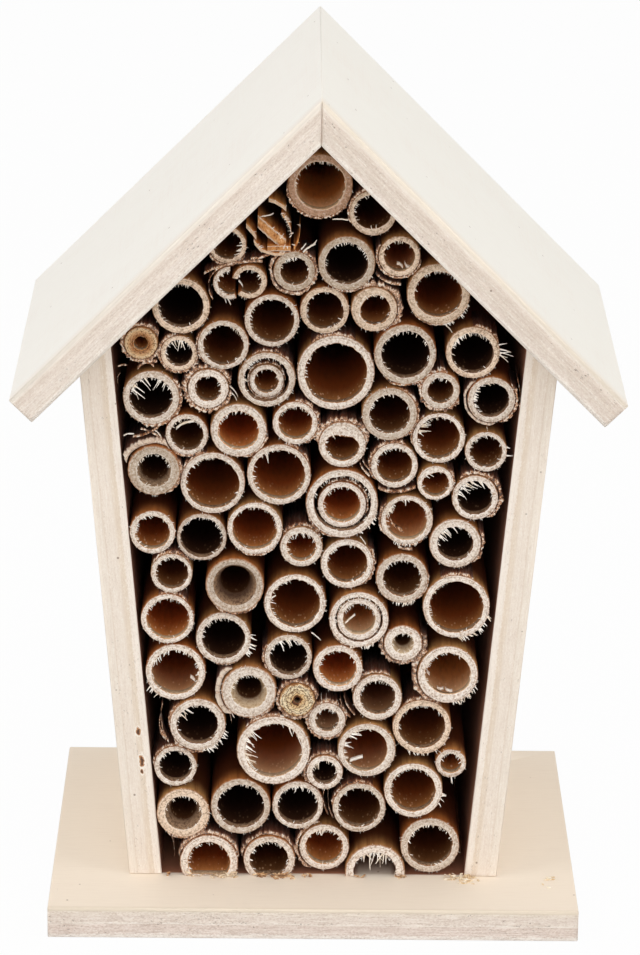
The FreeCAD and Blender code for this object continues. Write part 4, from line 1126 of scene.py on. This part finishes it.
def fringe(bm, cane, rng, start, sweep):
    """Short torn fibres along the bore's edge where the saw went in and along the skin where it came out, and
    the long ones of the table."""
    saw_way = way_at(rng.gauss(-65, 25))
    edges = {"in": cane.bore, "out": cane.outer}
    for place, (count, widths, lengths, start_share, outward, sawn) in SHORT_FIBRES.items():
        radius = edges[place] * start_share
        for _ in range(int(edges[place] / MM * count)):
            angle = math.degrees(rng.uniform(0, math.tau))
            side = way_at(angle)
            against = -side.dot(saw_way) if place == "in" else side.dot(saw_way)
            drift = Vector((rng.uniform(-0.3, 0.3), rng.uniform(-0.3, 0.3)))
            level = rng.uniform(0.05, 0.2) * MM
            slope = rng.uniform(-0.3, 0.3)
            wide = rng.uniform(*widths) * MM
            long = rng.uniform(*lengths) * MM
            flat = side * outward + saw_way * sawn + drift
            turned = (angle - start) % FULL_TURN
            if turned > sweep or rng.random() > 0.2 + 0.8 * max(0.0, against):
                continue
            root = Vector((cane.across + side.x * radius, cane.mouth + level, cane.height + side.y * radius))
            spike(bm, root, Vector((flat.x, slope, flat.y)).normalized(), long, wide)
    for name, place, low, high, count, short, long, heading in FRINGES:
        if name != cane.name:
            continue
        radius = edges[place] * LONG_FIBRE_STARTS[place]
        for _ in range(count):
            side = way_at(rng.uniform(low, high))
            root = Vector((cane.across + side.x * radius, cane.mouth + rng.uniform(0.05, 0.25) * MM,
                           cane.height + side.y * radius))
            aim = way_at(rng.gauss(heading, 14))
            way = Vector((aim.x, rng.uniform(-0.25, 0.2), aim.y)).normalized()
            strand(bm, root, way, rng.uniform(short, long) * MM, rng.uniform(*LONG_FIBRE_WIDTHS) * MM, rng)


def torn_fibres(cane, rng, start=0.0, sweep=FULL_TURN):
    """A cane's torn fibres as a mesh of their own."""
    bm = bmesh.new()
    if cane.name not in SMOOTH_MOUTHS.split():
        fringe(bm, cane, rng, start, sweep)
    finish_faces(bm, FIBRE, False)
    return bm


def room_outside(cane, side, others):
    """How far from a cane's axis, along a way across it, the next cane begins."""
    nearest = 1.0
    for other in others:
        offset = Vector((other.across - cane.across, other.height - cane.height))
        ahead = offset.dot(side)
        beside = offset.length_squared - ahead * ahead
        if ahead > 0 and beside < other.outer * other.outer:
            nearest = min(nearest, ahead - math.sqrt(other.outer * other.outer - beside))
    return nearest


def sheath(cane, start, sweep, thick, gap, pale, others, rng):
    """A torn piece of leaf sheath round part of a cane, as thick as the room beside its neighbours allows."""
    front = cane.mouth + rng.uniform(*SHEATH_STARTS) * MM
    rear = front + rng.uniform(*SHEATH_LENGTHS) * MM
    section = [(0.0, rear), (0.0, front), (0.5, front), (1.0, front), (1.0, front + 2 * MM), (1.0, rear)]
    bm = spun(cane, [(cane.outer + share * MM, along) for share, along in section], start, sweep, 3)
    look, deep = tone_layers(bm)
    seed = rng.uniform(0, 100)
    pressed_in = -SHEATH_PRESS * cane.outer
    for vert in bm.verts:
        side = Vector((vert.co.x - cane.across, vert.co.z - cane.height))
        share = (side.length - cane.outer) / MM
        side.normalize()
        turned = (math.degrees(math.atan2(side.y, side.x)) - start) % FULL_TURN
        ends = smooth_step(min(turned, sweep - turned) / 16 + 0.15)
        fine = noise.noise((side.x * 16, side.y * 16, seed))
        slow = noise.noise((side.x * 2, side.y * 2, seed + 40))
        room = room_outside(cane, side, others) - cane.outer - SHEATH_CLEARANCE * MM
        off = min(gap * MM * (0.8 + 0.8 * slow), room - SHEATH_LEAST_OFF * MM) if gap else pressed_in
        off = max(off, pressed_in)
        spare = min(thick * MM * (0.85 + 1.2 * (1 - pale) * fine) * ends, room - off)
        radius = cane.outer + off + share * max(spare, SHEATH_LEAST * MM)
        vert.co.x = cane.across + side.x * radius
        vert.co.z = cane.height + side.y * radius
        vert[look] = (pale * (1 + fine), 0, 0, 0)
        vert[deep] = inward_share(vert.co.y - cane.mouth)
        if vert.co.y < front + 1 * MM:
            vert.co.y += SHEATH_RAGGED * MM * fine
    finish_faces(bm, SHEATH, True)
    return bm


def bent_sheet(ends, bow, thick, front, back, rng):
    """A bent strip that runs back from the mouths: a sheet curved between its ends, then made thick."""
    first = Vector(ends[:2])
    run = Vector(ends[2:]) - first
    leftward = Vector((-run.y, run.x)).normalized()
    bm = bmesh.new()
    bmesh.ops.create_grid(bm, x_segments=max(4, round(run.length / 0.3)), y_segments=6, size=0.5)
    seed = rng.uniform(0, 100)
    for vert in bm.verts:
        along = vert.co.x + 0.5
        deep = vert.co.y + 0.5
        uneven = noise.noise((along * run.length * 1.2, deep, seed))
        place = first + run * along + leftward * (bow * 4 * along * (1 - along) + 0.12 * uneven)
        ragged = noise.noise((along * run.length * 2.5, 0, seed + 20)) * 0.35 * (1 - deep)
        vert.co = Vector((place.x, front + deep * deep * back + ragged, place.y)) * MM
    bmesh.ops.solidify(bm, geom=bm.faces[:], thickness=thick * MM)
    bmesh.ops.recalc_face_normals(bm, faces=bm.faces)
    return bm


def strips(mouth, rng):
    """Strips of sheath and loose fibres between the canes and in their mouths."""
    finishes = {"husk": SHEATH, "fibre": FIBRE, "flap": SAWN}
    meshes = []
    for *ends, bow, thick, back, kind in STRIPS:
        front = mouth / MM + rng.uniform(-0.1, 0.4)
        bm = bent_sheet(ends, bow, thick, front, back, rng)
        look, deep = tone_layers(bm)
        tone = rng.uniform(0.0, 0.25)
        for vert in bm.verts:
            vert[look] = (tone, 0.1, 0.3, 0)
            vert[deep] = inward_share(vert.co.y - mouth)
        finish_faces(bm, finishes[kind], True)
        meshes.append(bm)
    return meshes


def shard(mouth, rear, ends, bow, thick, behind, teeth, rng):
    """A strip of the crushed cane's wall from its mouth to the rear, with torn teeth along its front edge."""
    bm = bent_sheet(ends, bow, thick, mouth / MM + behind, (rear - mouth) / MM - behind - 0.5, rng)
    look, deep = tone_layers(bm)
    first = Vector(ends[:2])
    reach = Vector(ends[2:]) - first
    run = reach.normalized()
    leftward = Vector((-run.y, run.x))
    for vert in bm.verts:
        place = Vector((vert.co.x / MM, vert.co.z / MM)) - first
        along = place.dot(run) / reach.length
        beside = (place.dot(leftward) - bow * 4 * along * (1 - along)) / thick
        vert[look] = (1.0 if thick < 1 else 0.0, 0.1, 1.0 if abs(beside) > 0.5 else 0.0, 0)
        vert[deep] = inward_share(vert.co.y - mouth)
    for face in bm.faces:
        face.material_index = EDGE if face.normal.y < -0.6 else WALL
        face.smooth = True
    torn = bmesh.new()
    for _ in range(teeth):
        along = rng.random()
        root = first + reach * along + leftward * bow * 4 * along * (1 - along)
        aim = run * rng.uniform(-0.3, 0.5) - leftward * rng.choice((-1, 1, 1))
        way = Vector((aim.x, rng.uniform(-0.3, 0.1), aim.y)).normalized()
        spike(torn, Vector((root.x * MM, mouth + (behind + 0.1) * MM, root.y * MM)), way,
              rng.uniform(0.35, 0.75) * MM, rng.uniform(0.15, 0.3) * MM)
    finish_faces(torn, FIBRE, False)
    return [bm, torn]


def make_piece(name, meshes, materials, slot, *nodes):
    """One finished piece from several bmeshes, in place of the CAD nodes that it stands for."""
    whole = bmesh.new()
    for bm in meshes:
        part = bpy.data.meshes.new("part")
        bm.to_mesh(part)
        bm.free()
        whole.from_mesh(part)
        bpy.data.meshes.remove(part)
    mesh = bpy.data.meshes.new(name)
    whole.to_mesh(mesh)
    whole.free()
    for material in materials:
        mesh.materials.append(material)
    piece = bpy.data.objects.new(name, mesh)
    bpy.context.scene.collection.objects.link(piece)
    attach(piece, "root")
    if nodes:
        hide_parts(*nodes)


def build_board(node, piece_name, material, ease=0.3, front_ease=0.3):
    """A CAD board with its sawn edges eased by a stroke of sandpaper, the front ones more; in millimetres."""
    bm = welded(node)
    bmesh.ops.dissolve_limit(bm, angle_limit=math.radians(1), verts=bm.verts, edges=bm.edges)
    front = min(vert.co.y for vert in bm.verts) + 0.01 * MM
    for offset, at_front in ((front_ease, True), (ease, False)):
        arrises = [edge for edge in bm.edges
                   if edge.calc_length() > LONG_EDGE * MM
                   and edge.calc_face_angle(0) > math.radians(SHARP_EDGE)
                   and (all(vert.co.y < front for vert in edge.verts) or not at_front)]
        bmesh.ops.bevel(bm, geom=arrises, offset=offset * MM, offset_type="OFFSET", segments=3, profile=0.5,
                        affect="EDGES", material=-1)
    for face in bm.faces:
        face.smooth = face.calc_area() < EASED_AREA * MM * MM
    make_piece(piece_name, [bm], [material], "plywood", node)


def through(node, way):
    """Where a board starts and how thick it is along a way, in millimetres."""
    places = [vert.co.dot(way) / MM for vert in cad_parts[node].data.vertices]
    return min(places), max(places) - min(places)


def build_boards():
    """Every board, with its plies turned to lie in it."""
    lean = math.radians(WALL_LEAN)
    pitch = math.radians(ROOF_PITCH)
    for side, label in ((1, "right"), (-1, "left")):
        across_roof = Vector((side * math.sin(pitch), 0, math.cos(pitch)))
        low, thickness = through(f"{label}_roof_board", across_roof)
        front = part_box(f"{label}_roof_board")[0].y / MM
        plies, peach, arris_shade = ROOF_LOOKS[label]
        roof = plywood(f"poplar_plywood_{label}_roof", (0, -side * pitch, 0), low, thickness, plies, 0.55,
                       inner=0.0, front=front, peach=peach, arris_shade=arris_shade)
        build_board(f"{label}_roof_board", f"{label}_roof_plywood", roof, 0.25, 0.8)
        across_wall = Vector((side * math.cos(lean), 0, -math.sin(lean)))
        low, thickness = through(f"{label}_wall", across_wall)
        wall = plywood(f"poplar_plywood_{label}_wall", (0, -side * (math.pi / 2 + lean), 0), low, thickness,
                       WALL_PLIES, 0.3, inner=0.0, voids=WALL_VOIDS if side < 0 else ())
        build_board(f"{label}_wall", f"{label}_wall_plywood", wall, 0.25, 0.3)
    low, thickness = through("base_plate", Vector((0, 0, 1)))
    # Its eased front arris is darker too: painted shade where the bevel would catch more light
    base = plywood("poplar_plywood_base", (0, 0, 0), low, thickness, BASE_PLIES, 0.7, inner=1.0,
                   half_inside=HALF_INSIDE, front=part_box("base_plate")[0].y / MM, arris_shade="#e2d3bf")
    build_board("base_plate", "base_plywood", base, 0.3, 0.5)
    low, thickness = through("back_panel", Vector((0, 1, 0)))
    back = plywood("poplar_plywood_back", (math.pi / 2, 0, 0), low, thickness, BACK_PLIES, 0.5)
    build_board("back_panel", "back_plywood", back)


def cane_materials():
    """The finishes of every cane, in the order that its faces number them."""
    return [stem_skin(), sawn_end(), bore_lining(), torn_fibre(), pith(), dry_sheath(), joint_wall()]


def build_canes(materials):
    """Every whole cane, read from its CAD solid, with its torn fibres and what is left of its sheath."""
    rng = random.Random(7)
    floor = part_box("base_plate")[1].z + 0.06 * MM
    groups = {node: [node] for node in sorted(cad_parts) if node.startswith("cane_")}
    for label in ("lower", "middle", "upper"):
        node = f"small_canes_{label}"
        groups[node] = [f"{label}_{number:02d}" for number in range(1, len(islands(node)) + 1)]
    groups["inner_canes"] = ["inner_19", "inner_29", "inner_37"]
    canes = {node: [measure(name, corners) for name, corners in zip(names, islands(node))]
             for node, names in groups.items()}
    everyone = [cane for node, members in canes.items() if node != "inner_canes" for cane in members]
    for node, members in canes.items():
        meshes = []
        for cane in members:
            start, sweep = OPENED.get(cane.name, (0.0, FULL_TURN))
            wood = stem(cane, rng, start, sweep)
            meshes.append(wood)
            if cane.name == FLOOR_SPLIT:
                stand_on_floor(wood, floor)
            if cane.name in FLATTENED.split():
                flatten_on_floor(wood, cane, floor)
            meshes.append(torn_fibres(cane, rng, start, sweep))
            others = [] if node == "inner_canes" else [other for other in everyone if other.name != cane.name]
            for name, *piece in SHEATHS:
                if name == cane.name:
                    meshes.append(sheath(cane, *piece, others, rng))
        make_piece(f"{node}_bamboo", meshes, materials, "cane", node)


def build_broken_canes(materials):
    """The split cane and the crushed one, as the wall that is left of them, and the strips of sheath."""
    rng = random.Random(11)
    split, crushed, _ = islands("broken_canes")
    low, high = extent(split)
    radius = (high.z - low.z) / 2
    whole = measure("crushed", crushed)
    start, sweep, outer, bore = SPLIT_WALL
    piece = Cane("split", low.x + radius, low.z + radius, outer * MM, bore * MM, whole.mouth, whole.rear)
    meshes = [stem(piece, rng, start, sweep), torn_fibres(piece, rng, start, sweep)]
    for *ends, bow, thick, behind, teeth in SHARDS:
        meshes += shard(whole.mouth, whole.rear, ends, bow, thick, behind, teeth, rng)
    meshes += strips(whole.mouth, rng)
    finishes = materials + [broken_wall(), broken_edge()]
    make_piece("broken_canes_bamboo", meshes, finishes, "cane", "broken_canes")


def build_crumbs():
    """Sawdust and shavings on the floor in front of the canes."""
    rng = random.Random(5)
    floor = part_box("base_plate")[1].z
    bm = bmesh.new()
    look = bm.verts.layers.float_color.new("look")
    for low, high, count, forward, brown in CRUMB_RUNS:
        for _ in range(count):
            size = rng.uniform(*CRUMB_SIZES) * MM
            near = CRUMB_LINE - forward * rng.random() ** 2
            highest = CRUMB_HEAP if near > CRUMB_LINE - CRUMB_HEAP_REACH else 0.0
            heap = size * 0.25 + rng.random() ** 3 * highest * MM
            place = Vector((rng.triangular(low, high) * MM, near * MM, floor + heap))
            turn = Matrix.Rotation(rng.uniform(0, math.tau), 4, "Z")
            turn = turn @ Matrix.Rotation(rng.uniform(-0.4, 0.4), 4, "Y")
            shape = Matrix.Diagonal((rng.uniform(0.8, 3.0), rng.uniform(0.5, 0.9), 0.5, 1))
            made = bmesh.ops.create_icosphere(bm, subdivisions=1, radius=size,
                                              matrix=Matrix.Translation(place) @ turn @ shape)
            for vert in made["verts"]:
                vert[look] = (brown, 0, 0, 0)
    make_piece("floor_shavings", [bm], [shavings()], "cane")


def dress_brads():
    """Steel for the brads, whose CAD shape is right as it is."""
    steel = brad_steel()
    for node in ("base_brads", "side_brads"):
        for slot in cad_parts[node].material_slots:
            slot.material = steel


def seen_rays(tree):
    """1 for a ray that the eye sees, straight, mirrored or through glass; 0 for light on its way."""
    path = add_node(tree, "ShaderNodeLightPath")
    mirrored = add_node(tree, "ShaderNodeMath", {"operation": "MAXIMUM"}, {
        0: path.outputs["Is Camera Ray"], 1: path.outputs["Is Glossy Ray"]})
    return add_node(tree, "ShaderNodeMath", {"operation": "MAXIMUM"}, {
        0: mirrored, 1: path.outputs["Is Transmission Ray"]})


def build_floor():
    """A plain pale floor that shows white to the eye and keeps the object's soft shadow."""
    bm = bmesh.new()
    bmesh.ops.create_grid(bm, x_segments=1, y_segments=1, size=3.0,
                          matrix=Matrix.Translation((0, 0, cad_low.z - 0.05 * MM)))
    mesh = bpy.data.meshes.new("floor")
    bm.to_mesh(mesh)
    bm.free()
    material, tree = new_material("white_floor")
    share = add_node(tree, "ShaderNodeMath", MULTIPLY, {0: seen_rays(tree), 1: 0.97})
    paper = add_node(tree, "ShaderNodeBsdfDiffuse", inputs={"Color": linear("#d2d2d0")})
    white = add_node(tree, "ShaderNodeEmission", inputs={"Color": linear("#ffffff"), "Strength": 1.0})
    mixed = add_node(tree, "ShaderNodeMixShader", inputs={0: share, 1: paper, 2: white})
    add_node(tree, "ShaderNodeOutputMaterial", inputs={"Surface": mixed})
    mesh.materials.append(material)
    floor = bpy.data.objects.new("floor", mesh)
    bpy.context.scene.collection.objects.link(floor)


def add_lamp(name, place, power):
    """A soft square lamp that faces the middle of the object, from a place beside it."""
    lamp = bpy.data.lights.new(name, "AREA")
    lamp.shape = "SQUARE"
    lamp.size = LAMP_SIZE
    lamp.energy = power
    holder = bpy.data.objects.new(name, lamp)
    bpy.context.scene.collection.objects.link(holder)
    middle = (cad_low + cad_high) / 2
    holder.location = middle + Vector(place) * LAMP_REACH
    holder.rotation_euler = (middle - holder.location).to_track_quat("-Z", "Y").to_euler()


def build_camera():
    """The camera at the photograph's viewing angle."""
    camera = bpy.data.cameras.new("camera")
    camera.sensor_width = SENSOR_WIDTH
    camera.lens = FOCAL_PIXELS * SENSOR_WIDTH / IMAGE_HEIGHT
    camera.clip_start = 0.01
    holder = bpy.data.objects.new("camera", camera)
    bpy.context.scene.collection.objects.link(holder)
    turn = (Matrix.Rotation(math.radians(CAMERA_YAW), 4, "Z")
            @ Matrix.Rotation(math.radians(90 - CAMERA_PITCH), 4, "X")
            @ Matrix.Rotation(math.radians(CAMERA_ROLL), 4, "Z"))
    holder.matrix_world = Matrix.Translation(CAMERA_PLACE * MM) @ turn
    bpy.context.scene.camera = holder


def build_light():
    """The lamps, and a white surround that lights the object only a little."""
    for side, label in ((-1, "left"), (1, "right")):
        for name, (across, forward, up), power in PAIRED_LAMPS:
            add_lamp(f"{label}_{name}_softbox", (side * across, forward, up), power)
    add_lamp("front_softbox", *FRONT_LAMP)
    world = bpy.data.worlds.new("studio")
    bpy.context.scene.world = world
    world.use_nodes = True
    tree = world.node_tree
    tree.nodes.clear()
    ambient = add_node(tree, "ShaderNodeBackground", inputs={"Color": linear("#ffffff"), "Strength": 0.3})
    white = add_node(tree, "ShaderNodeBackground", inputs={"Color": linear("#ffffff"), "Strength": 1.0})
    mixed = add_node(tree, "ShaderNodeMixShader", inputs={0: seen_rays(tree), 1: ambient, 2: white})
    add_node(tree, "ShaderNodeOutputWorld", inputs={"Surface": mixed})
    bpy.context.scene.view_settings.view_transform = "Standard"


build_boards()
finishes = cane_materials()
build_canes(finishes)
build_broken_canes(finishes)
build_crumbs()
dress_brads()
build_floor()
build_camera()
build_light()
